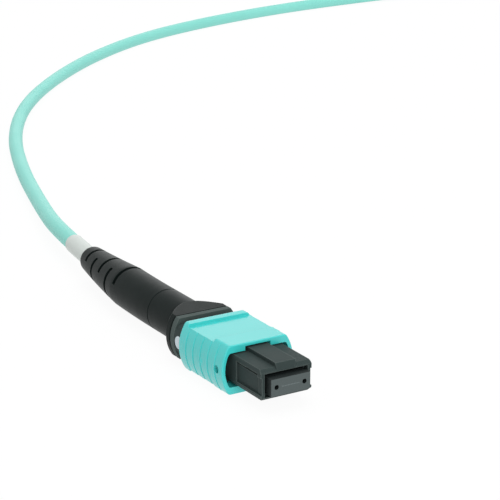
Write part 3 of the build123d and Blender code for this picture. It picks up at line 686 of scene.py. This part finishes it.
@dataclass(frozen=True)
class CouplingSleeve:
    """The pull sleeve: a bowed shell with stepped grip bands, a notched mouth and recessed panels.

    Corner and bulge are half widths, at the flats and at mid height, and rise is the half height. A cavity
    is its own corner, bulge and rise. Wall is the run over which a steep step climbs.
    """

    place: Placement
    front: float = 8.72
    length: float = 12.3
    rise: float = 3.74
    corner: float = 4.79
    bulge: float = 6.0
    flare: float = 0.16
    rim: float = 2.1
    grips: int = 5
    step: float = 0.045
    ribs: int = 3
    rib_height: float = 0.028
    cavity: tuple[float, float, float] = (4.75, 5.45, 2.6)
    rear_cavity: tuple[float, float, float] = (5.05, 5.75, 2.75)
    rear_depth: float = 2.3
    panel: tuple[float, float] = (12.5, 19.75)
    panel_rise: float = 3.3
    lip_foot: float = 3.68
    lip_crest: float = 20.6
    notch_half: float = 2.1
    notch_rise: float = 3.27
    notch_rear: float = 12.05
    hole_at: float = 10.25
    hole_radius: float = 0.6
    ring_radius: float = 0.86
    ring_height: float = 0.05
    gate_at: tuple[float, float] = (14.62, -0.16)
    gate_radius: float = 0.3
    gate_height: float = 0.22
    edge: float = 0.18
    ease: float = 0.3
    wall: float = 0.03
    side_points: int = 97
    flat_points: int = 14
    lip_points: int = 24
    ease_points: int = 8
    edge_points: int = 5
    hole_points: int = 40
    rim_rows: int = 28
    band_rows: int = 28
    cavity_rows: int = 6
    notch_rows: int = 8

    def bowed(self, corner: Grid, bulge: Grid, rise: Grid) -> tuple[Grid, Grid]:
        """Works out bowed outlines, one row for each section.

        The top is flat. Each side is the circle through both corners and the bulge. A corner is eased by
        the quadratic curve that starts on the flat, aims at the corner and ends on the circle. The second
        half of the outline is the first half turned by half a turn.

        Args:
            corner: half widths of the flats.
            bulge: half widths at mid height.
            rise: half heights.

        Returns:
            Left and up, sections by points.
        """
        corner, bulge, rise = (np.asarray(value, float).reshape(-1, 1) for value in (corner, bulge, rise))
        sag = bulge - corner
        radius = (rise**2 + sag**2) / (2 * sag)
        half = np.arcsin(rise / radius) - self.ease / radius
        turn = half * np.linspace(1, -1, self.side_points)
        arc_y = bulge - radius + radius * np.cos(turn)
        arc_z = radius * np.sin(turn)
        lip = self.notch_half / (self.cavity[0] - self.ease)
        gap = self.wall / self.cavity[0]
        outside = np.linspace(-1, -lip - gap, self.flat_points)
        marks = np.concatenate((outside, np.linspace(-lip, lip, self.lip_points), -outside[::-1]))
        flat_y = (corner - self.ease) * marks
        flat_z = rise + 0 * flat_y
        t = np.linspace(0, 1, self.ease_points)[1:-1]
        bend_y = (1 - t) ** 2 * (corner - self.ease) + 2 * t * (1 - t) * corner + t**2 * arc_y[:, :1]
        bend_z = (1 - t) ** 2 * rise + 2 * t * (1 - t) * rise + t**2 * arc_z[:, :1]
        side_y = np.hstack((bend_y, arc_y, bend_y[:, ::-1]))
        side_z = np.hstack((bend_z, arc_z, -bend_z[:, ::-1]))
        return np.hstack((flat_y, side_y, -flat_y, -side_y)), np.hstack((flat_z, side_z, -flat_z, -side_z))

    def outside(self) -> Grid:
        """Works out the outer wall, from front to rear.

        A band's sections are highest at its front and fall in a straight line to its rear, where the next
        band steps up, and fine ribs repeat the same saw tooth on a smaller scale. The height is cut to the
        panel's between the panel's ends, and climbs from the lip's foot to its crest behind them. Round the
        side hole the wall rises evenly into a low ring, and the moulding gate left a small bump.

        Returns:
            Sections by points by (station, left, up).
        """
        band = (self.length - self.rim) / self.grips
        first = self.front + self.rim
        run, lift = quarter_round(self.edge_points)
        starts = [np.linspace(self.front + self.edge, first, self.rim_rows)]
        climbs = [np.zeros(self.rim_rows)]
        flares = [np.zeros(self.rim_rows)]
        for grip in range(self.grips):
            share = np.linspace(0, 1, self.band_rows)
            starts.append(first + band * (grip + share * (1 - self.wall / band) + self.wall / band))
            rib = share * self.ribs
            rib -= np.clip(np.floor(rib), 0, self.ribs - 1)
            climbs.append(self.step * (1 - share) + self.rib_height * (1 - rib))
            flares.append(np.full(self.band_rows, self.flare * (grip + 1) / self.grips))
        station = np.concatenate(starts)
        climb = np.concatenate(climbs)
        flare = np.concatenate(flares)
        panel_ends = np.add.outer(self.panel, (0, self.wall)).ravel()
        order = np.argsort(np.concatenate((station, panel_ends)), kind="stable")
        climb = np.concatenate((climb, np.interp(panel_ends, station, climb)))[order]
        flare = np.concatenate((flare, np.interp(panel_ends, station, flare)))[order]
        station = np.concatenate((station, panel_ends))[order]
        y, z = self.bowed(self.corner + flare + climb / 2, self.bulge + flare + climb, self.rise + 0 * flare)
        s = station[:, None] + 0 * y
        heights = [self.rise, self.panel_rise, self.panel_rise, self.lip_foot, self.rise]
        ceiling = np.interp(s, [*panel_ends, self.lip_crest], heights)
        z = np.clip(z, -ceiling, ceiling)
        reach = np.hypot(s - self.hole_at, z)
        ring = np.clip((self.ring_radius - reach) / (self.ring_radius - self.hole_radius), 0, 1)
        off_gate = np.hypot(s - self.gate_at[0], z - self.gate_at[1])
        gate = np.exp(-((off_gate / self.gate_radius) ** 2)) * (y < 0)
        on_side = np.abs(y) > self.corner
        y = y + np.sign(y) * on_side * (self.ring_height * ring + self.gate_height * gate)
        rear = self.front + self.length
        inset = self.edge * (1 - lift)
        rounds = []
        for end, stations in ((0, self.front + self.edge * run), (-1, rear - self.edge * run)):
            tip_y, tip_z = self.bowed(
                self.corner + flare[end] - inset / 2,
                self.bulge + flare[end] + climb[end] - inset,
                self.rise - inset,
            )
            rounds.append(np.stack((stations[:, None] + 0 * tip_y, tip_y, tip_z), axis=-1)[:-1])
        wall = np.stack((s, y, z), axis=-1)
        return np.concatenate((rounds[0], wall[:-1], rounds[1][::-1]))

    def inside(self) -> Grid:
        """Works out the cavity's wall, from rear to front.

        It has two plain sections, the wider one at the rear, and its top is notched near the mouth.

        Returns:
            Sections by points by (station, left, up).
        """
        rear = self.front + self.length
        shoulder = rear - self.rear_depth
        stations = np.concatenate(
            (
                [rear, shoulder],
                np.linspace(shoulder - self.wall, self.notch_rear + self.wall, self.cavity_rows),
                np.linspace(self.notch_rear, self.front, self.notch_rows),
            )
        )
        wide = stations >= shoulder
        sizes = [np.where(wide, rear_size, size) for rear_size, size in zip(self.rear_cavity, self.cavity)]
        y, z = self.bowed(*sizes)
        s = stations[:, None] + 0 * y
        notched = (s <= self.notch_rear) & (z > 0) & (np.abs(y) < self.notch_half + self.wall / 2)
        return np.stack((s, y, np.where(notched, self.notch_rise, z)), axis=-1)

    def pierce(self, shell: bpy.types.Object) -> None:
        """Cuts the round hole through both side walls.

        The shell is divided into triangles first, which are flat, so that the holes' rims stay closed.

        Args:
            shell: the closed shell.
        """
        facets = bmesh.new()
        facets.from_mesh(shell.data)
        bmesh.ops.triangulate(facets, faces=facets.faces)
        facets.to_mesh(shell.data)
        facets.free()
        angle = np.linspace(0, 2 * math.pi, self.hole_points, endpoint=False)
        across = 2 * self.bulge * np.array([[-1.0], [1.0]])
        station = self.hole_at + self.hole_radius * np.cos(angle)
        up = self.hole_radius * np.sin(angle)
        drill = skin(f"{shell.name}_drill", self.place.points(station, across, up), Seam.TUBE, capped=True)
        cut = shell.modifiers.new("side_holes", "BOOLEAN")
        cut.operation = "DIFFERENCE"
        cut.solver = "EXACT"
        cut.object = drill
        whole = shell.data
        shell.data = final_mesh(shell)
        shell.modifiers.clear()
        shell.data.set_sharp_from_angle(angle=SHARP_ANGLE)
        bpy.data.meshes.remove(whole)
        bpy.data.meshes.remove(drill.data)

    def build(self, name: str) -> bpy.types.Object:
        """Joins the outer wall and the cavity into one closed shell, and cuts its side holes.

        Args:
            name: the piece's name.

        Returns:
            The sleeve.
        """
        sections = np.concatenate((self.outside(), self.inside()))
        shell = skin(name, self.place.points(*np.moveaxis(sections, -1, 0)), Seam.RING)
        self.pierce(shell)
        return shell


@dataclass(frozen=True)
class StrainBoot:
    """The strain-relief boot: a flatted collar, a barrel and a tapered, slit tail, bent with the lead.

    Flat is the collar's half height, and neck the radius of the hollow between the collar and the bore. Wall
    is the run over which a steep step falls.
    """

    place: Placement
    front: float = 25.04
    collar_radius: float = 5.5
    collar_edge: float = 0.1
    flat: float = 3.25
    cone_front: float = 26.1
    cone_rear: float = 29.2
    barrel_radius: float = 3.5
    bend_at: float = 37.4
    taper_at: float = 49.0
    end_at: float = 65.3
    line_at: float = 35.6
    line_width: float = 0.3
    line_depth: float = 0.06
    bend_radius: float = 227.0
    tail_radius: float = 2.3
    rim: float = 0.5
    bore: float = 1.55
    neck: float = 2.9
    slits: int = 5
    slit_at: float = 48.1
    slit_pitch: float = 3.5
    slit_width: float = 0.75
    slit_span: float = 213.0
    slit_turn: float = 38.0
    slit_floor: float = 1.7
    wall: float = 0.03
    lead_in: float = 0.3
    row_gap: float = 0.1
    edge_points: int = 6
    collar_rows: int = 6
    cone_rows: int = 26
    barrel_rows: int = 20
    tail_rows: int = 150
    bore_rows: int = 24
    turns: int = 192

    def profile(self) -> tuple[Grid, Grid]:
        """Works out the outline that is turned about the axis, out along the outside and back by the bore.

        Returns:
            Distances along the boot and radii.
        """
        run, lift = quarter_round(self.edge_points)
        taper_end = self.end_at - self.rim
        line = self.line_at + np.array([0, self.wall, self.line_width - self.wall, self.line_width])
        middles = self.slit_at + self.slit_pitch * np.arange(self.slits)
        edges = self.slit_width / 2 * np.array([-1, -1, -0.5, 0.5, 1, 1])
        edges += self.wall * np.array([-1, 0, 0, 0, 0, 1])
        slit_marks = (middles[:, None] + edges).ravel()
        plain = np.linspace(self.line_at + self.line_width + self.row_gap, taper_end, self.tail_rows)
        clear = np.abs(plain[:, None] - middles).min(axis=1) > self.slit_width / 2 + 2 * self.wall
        tail = np.sort(np.concatenate((plain[clear], slit_marks)))
        cone = np.linspace(self.collar_radius, self.barrel_radius, self.cone_rows + 1)[1:]
        run_out = [
            ([self.front], [self.neck]),
            (self.front + self.collar_edge * run, self.collar_radius - self.collar_edge * (1 - lift)),
            (
                np.linspace(self.front + self.lead_in, self.cone_front, self.collar_rows),
                np.full(self.collar_rows, self.collar_radius),
            ),
            (np.linspace(self.cone_front + self.row_gap, self.cone_rear, self.cone_rows), cone),
            (
                np.linspace(self.cone_rear + self.wall, self.line_at - self.row_gap, self.barrel_rows),
                np.full(self.barrel_rows, self.barrel_radius),
            ),
            (line, self.barrel_radius - self.line_depth * np.array([0, 1, 1, 0])),
            (tail, np.interp(tail, (self.taper_at, taper_end), (self.barrel_radius, self.tail_radius))),
            (taper_end + self.rim * lift, self.tail_radius - self.rim * run),
            (np.linspace(self.end_at, self.bend_at, self.bore_rows), np.full(self.bore_rows, self.bore)),
            ([self.bend_at], [self.neck]),
        ]
        along, radius = (np.concatenate(column) for column in zip(*run_out))
        return along, radius

    def build(self, name: str) -> bpy.types.Object:
        """Turns the profile about the axis, cuts the collar's flats and the slits, and bends the tail.

        The flats limit the height and rise to meet the barrel's top. A slit lowers the radius to its floor
        over its width and its share of a turn, and each next slit starts half a turn round. Past the start
        of the bend, the distance d along it lies at bend radius times sin(d / radius) back and 1 - cos of
        the same aside.

        Args:
            name: the piece's name.

        Returns:
            The boot.
        """
        along, radius = self.profile()
        angle = np.linspace(0, 2 * math.pi, self.turns, endpoint=False)
        along, angle = np.meshgrid(along, angle, indexing="ij")
        radius = np.repeat(radius[:, None], self.turns, axis=1)
        for slit in range(self.slits):
            middle = self.slit_at + self.slit_pitch * slit
            facing = math.radians(self.slit_turn + 180 * (slit % 2))
            off = np.abs((angle - facing + math.pi) % (2 * math.pi) - math.pi)
            within = np.abs(along - middle) < (self.slit_width + self.wall) / 2
            cut = within & (off < math.radians(self.slit_span / 2))
            radius = np.where(cut, np.minimum(radius, self.slit_floor), radius)
        up = radius * np.cos(angle)
        left = radius * np.sin(angle)
        limit = np.interp(along, (self.front, self.cone_rear), (self.flat, self.barrel_radius))
        up = np.clip(up, -limit, limit)
        turn = np.maximum(along - self.bend_at, 0) / self.bend_radius
        station = np.minimum(along, self.bend_at) + (self.bend_radius - left) * np.sin(turn)
        aside = self.bend_radius * (1 - np.cos(turn)) + left * np.cos(turn)
        return skin(name, self.place.points(station, aside, up), Seam.RING)


@dataclass(frozen=True)
class PolarityDot:
    """The printed dot on the housing's side: a thin disc with a rounded rim."""

    place: Placement
    station: float = 22.4
    seat: float = 5.4
    radius: float = 1.0
    thick: float = 0.12
    edge_points: int = 6
    points: int = 48

    def build(self, name: str) -> bpy.types.Object:
        """Turns a quarter-round rim about the disc's own axis, which points out of the housing's side.

        Args:
            name: the piece's name.

        Returns:
            The dot.
        """
        run, lift = quarter_round(self.edge_points)
        radius = np.concatenate(([self.radius], self.radius - self.thick * run))[:, None]
        height = np.concatenate(([0.0], self.thick * lift))[:, None]
        angle = np.linspace(0, 2 * math.pi, self.points, endpoint=False)
        station = self.station + radius * np.cos(angle)
        up = radius * np.sin(angle)
        return skin(name, self.place.points(station, -(self.seat + height), up), Seam.TUBE, capped=True)


@dataclass(frozen=True)
class WrapLabel:
    """A blank film wrapped once round the lead, its outer edge lapped over its inner one."""

    line: Grid
    start: float = 0.2
    length: float = 9.5
    lead_radius: float = 1.5
    thick: float = 0.2
    lap: float = 0.09
    lap_at: float = 250.0
    edge: float = 0.06
    edge_points: int = 4
    rows: int = 24
    points: int = 96

    def build(self, name: str) -> bpy.types.Object:
        """Carries the wrap's outline along the lead's own line.

        The outline's radius falls evenly over one turn by the film's lap and steps up again where the turn
        closes, so the film's edge shows as a small step along the label.

        Args:
            name: the piece's name.

        Returns:
            The label.
        """
        steps = np.linalg.norm(np.diff(self.line, axis=0), axis=1)
        reach = np.concatenate(([0.0], np.cumsum(steps))) / MM
        run, lift = quarter_round(self.edge_points)
        plain = np.linspace(2 * self.edge, self.length - 2 * self.edge, self.rows)
        marks = self.start + np.concatenate((self.edge * run, plain, self.length - self.edge * run[::-1]))
        inset = self.edge * np.concatenate((1 - lift, 0 * plain, 1 - lift[::-1]))
        middle = np.stack([np.interp(marks, reach, self.line[:, axis]) for axis in range(3)], axis=-1)
        turn = np.linspace(0, 1, self.points, endpoint=False)
        angle = math.radians(self.lap_at) + 2 * math.pi * turn
        radius = self.lead_radius + self.thick - self.lap * turn - inset[:, None]
        out = MM * spokes(np.gradient(middle, marks, axis=0), (0.0, 0.0, 1.0), angle)
        outer = middle[:, None] + radius[..., None] * out
        bore = middle[:, None] + self.lead_radius * out
        return skin(name, np.concatenate((outer, bore[::-1])), Seam.RING)


@dataclass(frozen=True)
class Lead:
    """The round fibre lead: from the boot along the surface, through a tied coil to its far connector.

    Attributes:
        diameter: the jacket's diameter.
        length: the free length between the two boots; not used.
        route: the points that it follows as far as the coil.
        coil_centre: the coil's middle.
        cells: each turn's radius and height.
        turn_points: points in a turn.
        move_place: the place in a turn at which the last but one moves over to the next cell.
        move_stagger: how many places later each earlier turn moves.
        move_span: how many places the move takes.
        tail: the points from the coil to the far boot.
        curve_steps: steps of the smooth line between points.
        round_steps: steps of each quarter of the round section.
    """

    diameter: float = 0.003
    length: float = 0.93
    route: tuple[tuple[float, float, float], ...] = (
        (-0.032505, 0.001712, 0.00374),
        (-0.050369, 0.003919, 0.00374),
        (-0.0705, 0.0101, 0.0019),
        (-0.0991, 0.0187, 0.0015),
        (-0.1269, 0.0293, 0.0015),
        (-0.153, 0.0439, 0.0015),
        (-0.176, 0.0627, 0.0015),
        (-0.1963, 0.084, 0.0015),
        (-0.2132, 0.1083, 0.0015),
        (-0.2243, 0.1362, 0.0015),
        (-0.2315, 0.1656, 0.0015),
        (-0.23335, 0.195, 0.00175),
        (-0.23295, 0.223, 0.002),
    )
    coil_centre: tuple[float, float] = (-0.25285, 0.223)
    cells: tuple[tuple[float, float], ...] = (
        (0.0195, 0.002),
        (0.0165, 0.002),
        (0.0135, 0.002),
        (0.0135, 0.005),
        (0.0165, 0.005),
        (0.0195, 0.005),
    )
    turn_points: int = 12
    move_place: float = 4.0
    move_stagger: float = 1.6
    move_span: float = 1.5
    tail: tuple[tuple[float, float, float], ...] = (
        (-0.27085, 0.2428, 0.0045),
        (-0.288986, 0.244493, 0.00374),
        (-0.30685, 0.2467, 0.00374),
    )
    curve_steps: int = 12
    round_steps: int = 7

    def coil(self) -> list[tuple[float, float, float]]:
        """Winds the turns, each in its own place in the coil's section.

        Late in each turn the lead moves over to the next place. The last turn moves first, so that each
        place is empty before the turn below or beside it takes it. A smooth line through points on a circle
        runs inside it by (3 + cos of the step) / 4, so the points stand out by as much. The lead leaves the
        coil a quarter of the way round its last turn.

        Returns:
            The coil's points, from just past its first point to the one where the lead leaves it.
        """
        step = 2 * math.pi / self.turn_points
        stand_out = 4 / (3 + math.cos(step))
        last = len(self.cells) - 1
        points = []
        for count in range(1, last * self.turn_points + self.turn_points // 4 + 1):
            turn, place = divmod(count, self.turn_points)
            move_at = self.move_place + self.move_stagger * (last - 1 - turn)
            share = min(max((place - move_at) / self.move_span, 0.0), 1.0) if turn < last else 0.0
            radius, height = (
                here + share * (there - here)
                for here, there in zip(self.cells[turn], self.cells[min(turn + 1, last)])
            )
            angle = count * step
            points.append(
                (
                    self.coil_centre[0] + stand_out * radius * math.cos(angle),
                    self.coil_centre[1] + stand_out * radius * math.sin(angle),
                    height,
                )
            )
        return points

    def build(self, name: str) -> bpy.types.Object:
        """Lays the lead on one smooth curve through its route, coil and tail.

        Args:
            name: the piece's name.

        Returns:
            The lead, still without its thickness.
        """
        points = [*self.route, *self.coil(), *self.tail]
        data = bpy.data.curves.new(name, "CURVE")
        data.dimensions = "3D"
        data.resolution_u = self.curve_steps
        spline = data.splines.new("NURBS")
        spline.points.add(len(points) - 1)
        spline.points.foreach_set("co", np.array([(*point, 1.0) for point in points]).ravel())
        spline.order_u = 3
        spline.use_endpoint_u = True
        return into_scene(name, data)

    def line(self, piece: bpy.types.Object) -> Grid:
        """Reads the curve's own points, before it has its thickness.

        Args:
            piece: the lead.

        Returns:
            Points in order from the near boot.
        """
        mesh = final_mesh(piece)
        points = np.empty(len(mesh.vertices) * 3)
        mesh.vertices.foreach_get("co", points)
        bpy.data.meshes.remove(mesh)
        return points.reshape(-1, 3)

    def thicken(self, piece: bpy.types.Object) -> None:
        """Gives the curve the lead's round section.

        Args:
            piece: the lead.
        """
        piece.data.bevel_depth = self.diameter / 2
        piece.data.bevel_resolution = self.round_steps
        piece.data.use_fill_caps = True


@dataclass(frozen=True)
class CompressionSpring:
    """A compression spring of round wire.

    Attributes:
        node: the solid that it stands for.
        joint: the joint that shortens it; not used.
        travel: how far it shortens, in millimetres; not used.
        wire: the wire's radius, in millimetres.
        turns: how many turns it has.
        squareness: the power of the winding's outline, 2 for an ellipse and more for a rounded rectangle.
        turn_points: points in a turn.
        wire_points: points round the wire.
    """

    node: str
    joint: str
    travel: float
    wire: float
    turns: int
    squareness: float = 2.0
    turn_points: int = 48
    wire_points: int = 12

    def build(self, name: str) -> bpy.types.Object:
        """Winds the wire in the box of its solid.

        The line climbs evenly from the rear end to the front one. Across the axis it follows a superellipse,
        on which the powers of left and up add to 1. The wire's circle stands square to the line.

        Args:
            name: the piece's name.

        Returns:
            The spring.
        """
        low, high = (np.array(corner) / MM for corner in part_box(self.node))
        half = (high - low) / 2 - self.wire
        angle = np.linspace(0, 2 * math.pi * self.turns, self.turn_points * self.turns + 1)
        across = np.stack((np.cos(angle), np.sin(angle)), axis=-1)
        across = np.sign(across) * np.abs(across) ** (2 / self.squareness)
        climb = np.linspace(-1, 1, angle.size)[:, None]
        line = (low + high) / 2 + half * np.hstack((climb, across))
        turn = np.linspace(0, 2 * math.pi, self.wire_points, endpoint=False)
        out = spokes(np.gradient(line, axis=0), (1.0, 0.0, 0.0), turn)
        return skin(name, (line[:, None] + self.wire * out) * MM, Seam.TUBE, capped=True)

    def shorten(self, piece: bpy.types.Object) -> None:
        """Gives the spring its own copy of its mesh.

        Args:
            piece: the finished spring.
        """
        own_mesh(piece)


@dataclass(frozen=True)
class CoilStrap:
    """The hook-and-loop strap round the coil: a rounded loop of band."""

    node: str = "coil_tie"
    thick: float = 0.5
    round_out: float = 1.4
    round_in: float = 0.3
    edge: float = 0.12
    points: int = 96

    def build(self, name: str) -> bpy.types.Object:
        """Carries the band's section round a rounded rectangle that fills the tie's box.

        The outer loop is a rectangle with round corners, and the inner one is the same, smaller by the
        band's thickness. The band's edges are eased a little.

        Args:
            name: the piece's name.

        Returns:
            The strap.
        """
        low, high = (np.array(corner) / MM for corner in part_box(self.node))
        angle = np.linspace(0, 2 * math.pi, self.points, endpoint=False)
        middle = (low + high) / 2
        half = (high - low) / 2
        loops = []
        for depth, y in (
            (self.edge, low[1]),
            (0.0, low[1] + self.edge),
            (0.0, high[1] - self.edge),
            (self.edge, high[1]),
            (self.thick - self.edge, high[1]),
            (self.thick, high[1] - self.edge),
            (self.thick, low[1] + self.edge),
            (self.thick - self.edge, low[1]),
        ):
            radius = max(self.round_out - depth, self.round_in)
            x = middle[0] + np.sign(np.cos(angle)) * (half[0] - radius - depth) + radius * np.cos(angle)
            z = middle[2] + np.sign(np.sin(angle)) * (half[2] - radius - depth) + radius * np.sin(angle)
            loops.append(np.stack((x, 0 * x + y, z), axis=-1))
        return skin(name, np.array(loops) * MM, Seam.RING)


@dataclass(frozen=True)
class Lamp:
    """A round soft box that faces the object.

    Attributes:
        name: the lamp's name.
        at: its middle, in metres.
        across: its diameter in metres.
        power: its power in watts.
        mirrored: whether glossy surfaces mirror it.
    """

    name: str
    at: tuple[float, float, float]
    across: float
    power: float
    mirrored: bool = False

    def build(self) -> None:
        """Sets the lamp in the scene, turned to the origin."""
        data = bpy.data.lights.new(self.name, "AREA")
        data.shape = "DISK"
        data.size = self.across
        data.energy = self.power
        lamp = into_scene(self.name, data)
        lamp.location = self.at
        lamp.rotation_euler = Vector(self.at).to_track_quat("Z", "Y").to_euler()
        lamp.visible_glossy = self.mirrored


@dataclass(frozen=True)
class Studio:
    """White surface, soft light and the camera at the picture's own angle.

    Yaw and pitch are in degrees. Shadow_share is how much of the surface's own shade shows, glow is how far
    it lights the object evenly, and sky is the strength of the light from all round.
    """

    camera_at: tuple[float, float, float] = (0.228225, -0.125542, 0.09757)
    yaw: float = 148.692
    pitch: float = -17.708
    lens: float = 128.85
    sensor: float = 36.0
    near_clip: float = 0.01
    floor_half: float = 3.0
    floor_drop: float = 0.00004
    floor_colour: str = "#F2F3F3"
    shadow_share: float = 0.06
    glow: float = 0.85
    sky: float = 0.5
    lamps: tuple[Lamp, ...] = (
        Lamp("overhead", (-0.25, 0.2, 1.8), across=1.6, power=18.0),
        Lamp("front", (1.5, -0.3, 0.7), across=1.6, power=19.0),
        Lamp("behind", (-1.2, 0.73, 0.45), across=1.0, power=1.2, mirrored=True),
    )

    def camera(self) -> None:
        """Sets the camera: a long lens that looks down on the connector's nose from its right."""
        yaw, pitch = math.radians(self.yaw), math.radians(self.pitch)
        ahead = Vector((math.cos(pitch) * math.cos(yaw), math.cos(pitch) * math.sin(yaw), math.sin(pitch)))
        data = bpy.data.cameras.new("camera")
        data.lens = self.lens
        data.sensor_width = self.sensor
        data.clip_start = self.near_clip
        camera = into_scene("camera", data)
        camera.location = self.camera_at
        camera.rotation_euler = ahead.to_track_quat("-Z", "Y").to_euler()
        bpy.context.scene.camera = camera

    def floor(self) -> None:
        """Lays the white surface: it lights the object as white card does, and keeps a faint shadow."""
        half = self.floor_half
        mesh = bpy.data.meshes.new("floor")
        corners = [(-half, -half), (half, -half), (half, half), (-half, half)]
        mesh.from_pydata([(x, y, -self.floor_drop) for x, y in corners], [], [(0, 1, 2, 3)])
        material, tree = new_material("card_white")
        share = add_node(
            tree,
            "ShaderNodeMapRange",
            None,
            {"Value": seen_rays(tree), "To Min": self.glow, "To Max": 1 - self.shadow_share},
        ).outputs["Result"]
        card = add_node(tree, "ShaderNodeBsdfDiffuse", None, {"Color": linear(self.floor_colour)}).outputs[0]
        white = add_node(tree, "ShaderNodeEmission", None, {"Color": WHITE, "Strength": 1.0}).outputs[0]
        mixed = add_node(tree, "ShaderNodeMixShader", None, {0: share, 1: card, 2: white}).outputs[0]
        add_node(tree, "ShaderNodeOutputMaterial", None, {"Surface": mixed})
        mesh.materials.append(material)
        floor = into_scene("floor", mesh)

    def light(self) -> None:
        """Sets an even white sky, shown as white, and the soft boxes."""
        world = bpy.data.worlds.new("sky")
        world.use_nodes = True
        tree = world.node_tree
        tree.nodes.clear()
        level = add_node(
            tree, "ShaderNodeMapRange", None, {"Value": seen_rays(tree), "To Min": self.sky, "To Max": 1.0}
        ).outputs["Result"]
        sky = add_node(tree, "ShaderNodeBackground", None, {"Color": WHITE, "Strength": level}).outputs[0]
        add_node(tree, "ShaderNodeOutputWorld", None, {"Surface": sky})
        bpy.context.scene.world = world
        for lamp in self.lamps:
            lamp.build()

    def build(self) -> None:
        """Sets the whole studio."""
        self.camera()
        self.floor()
        self.light()
        bpy.context.scene.view_settings.view_transform = "Standard"


class Assembly:
    """Builds every piece, dresses it and hangs it on its body."""

    def __init__(self) -> None:
        """Starts with the materials, both connectors' places and the lead, and nothing on the lead."""
        self.paints = Paints()
        self.near = Placement.of("ferrule", Heading.FORWARD)
        self.far = Placement.of("far_ferrule", Heading.BACK)
        self.run = Lead()
        self.cord = self.run.build("lead")
        self.on_lead: list[bpy.types.Object] = []

    def hang(self, piece: bpy.types.Object, finish: Finish, slot: str, body: str, *nodes: str) -> None:
        """Gives a piece its finish and its body, and lets it stand for its solids.

        Args:
            piece: the new piece.
            finish: its finish.
            slot: the record's material slot; not used.
            body: the body that it rides on.
            nodes: the solids that it stands for.
        """
        piece.data.materials.append(self.paints.get(finish))
        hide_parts(*nodes)
        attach(piece, body)
        LOG.info("%s stands for %s on %s", piece.name, ", ".join(nodes), body)

    def lead(self) -> None:
        """Dresses the lead, and builds its labels and strap."""
        line = self.run.line(self.cord)
        self.run.thicken(self.cord)
        self.hang(self.cord, Finish.JACKET, "jacket_aqua", "housing", "cable", "cable_coil", "cable_tail")
        near_label = WrapLabel(line).build("label_near")
        self.hang(near_label, Finish.LABEL, "label_white", "housing", "cable_label")
        far_label = WrapLabel(line[::-1]).build("label_far")
        self.hang(far_label, Finish.LABEL, "label_white", "housing", "far_label")
        strap = CoilStrap().build("strap")
        self.hang(strap, Finish.STRAP, "tie_fabric", "housing", "coil_tie")
        far_nodes = [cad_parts[node] for node in ("far_housing", "far_spring_push", "far_ferrule")]
        self.on_lead += [near_label, far_label, strap, *far_nodes]

    def connectors(self) -> None:
        """Builds the sleeve, boot and dot of both connectors."""
        for end, place, sleeve_body, sleeve_node, boot_node, dot_node in (
            ("near", self.near, "sleeve", "coupling_sleeve", "strain_boot", "polarity_dot"),
            ("far", self.far, "far_sleeve", "far_sleeve", "far_boot", "far_dot"),
        ):
            sleeve = CouplingSleeve(place).build(f"sleeve_{end}")
            self.hang(sleeve, Finish.SLEEVE, "sleeve_aqua", sleeve_body, sleeve_node)
            boot = StrainBoot(place).build(f"boot_{end}")
            self.hang(boot, Finish.BOOT, "boot_rubber", "housing", boot_node)
            dot = PolarityDot(place).build(f"dot_{end}")
            self.hang(dot, Finish.DOT, "dot_white", "housing", dot_node)
            if end == "far":
                self.on_lead += [sleeve, boot, dot]

    def springs(self) -> None:
        """Builds the main spring and the sleeve's two springs."""
        for spring in (
            CompressionSpring(
                "main_spring", "ferrule_float", travel=0.82, wire=0.25, turns=5, squareness=4.0
            ),
            CompressionSpring("coupling_spring_left", "sleeve_slide", travel=2.22, wire=0.13, turns=7),
            CompressionSpring("coupling_spring_right", "sleeve_slide", travel=2.22, wire=0.13, turns=7),
        ):
            piece = spring.build(f"{spring.node}_wire")
            self.hang(piece, Finish.SPRING, "spring_steel", "housing", spring.node)
            spring.shorten(piece)

    def solids(self) -> None:
        """Gives each solid that still shows its finish."""
        for node, finish in NODE_FINISHES.items():
            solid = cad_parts[node]
            solid.data.materials.clear()
            solid.data.materials.append(self.paints.get(finish))
            LOG.info("%s keeps its solid in %s", node, finish.value.name)


def main() -> None:
    """Builds the studio and the object."""
    logging.basicConfig(level=logging.INFO, format="%(name)s: %(message)s")
    Studio().build()
    assembly = Assembly()
    assembly.lead()
    assembly.connectors()
    assembly.springs()
    assembly.solids()


if __name__ == "__main__":
    main()
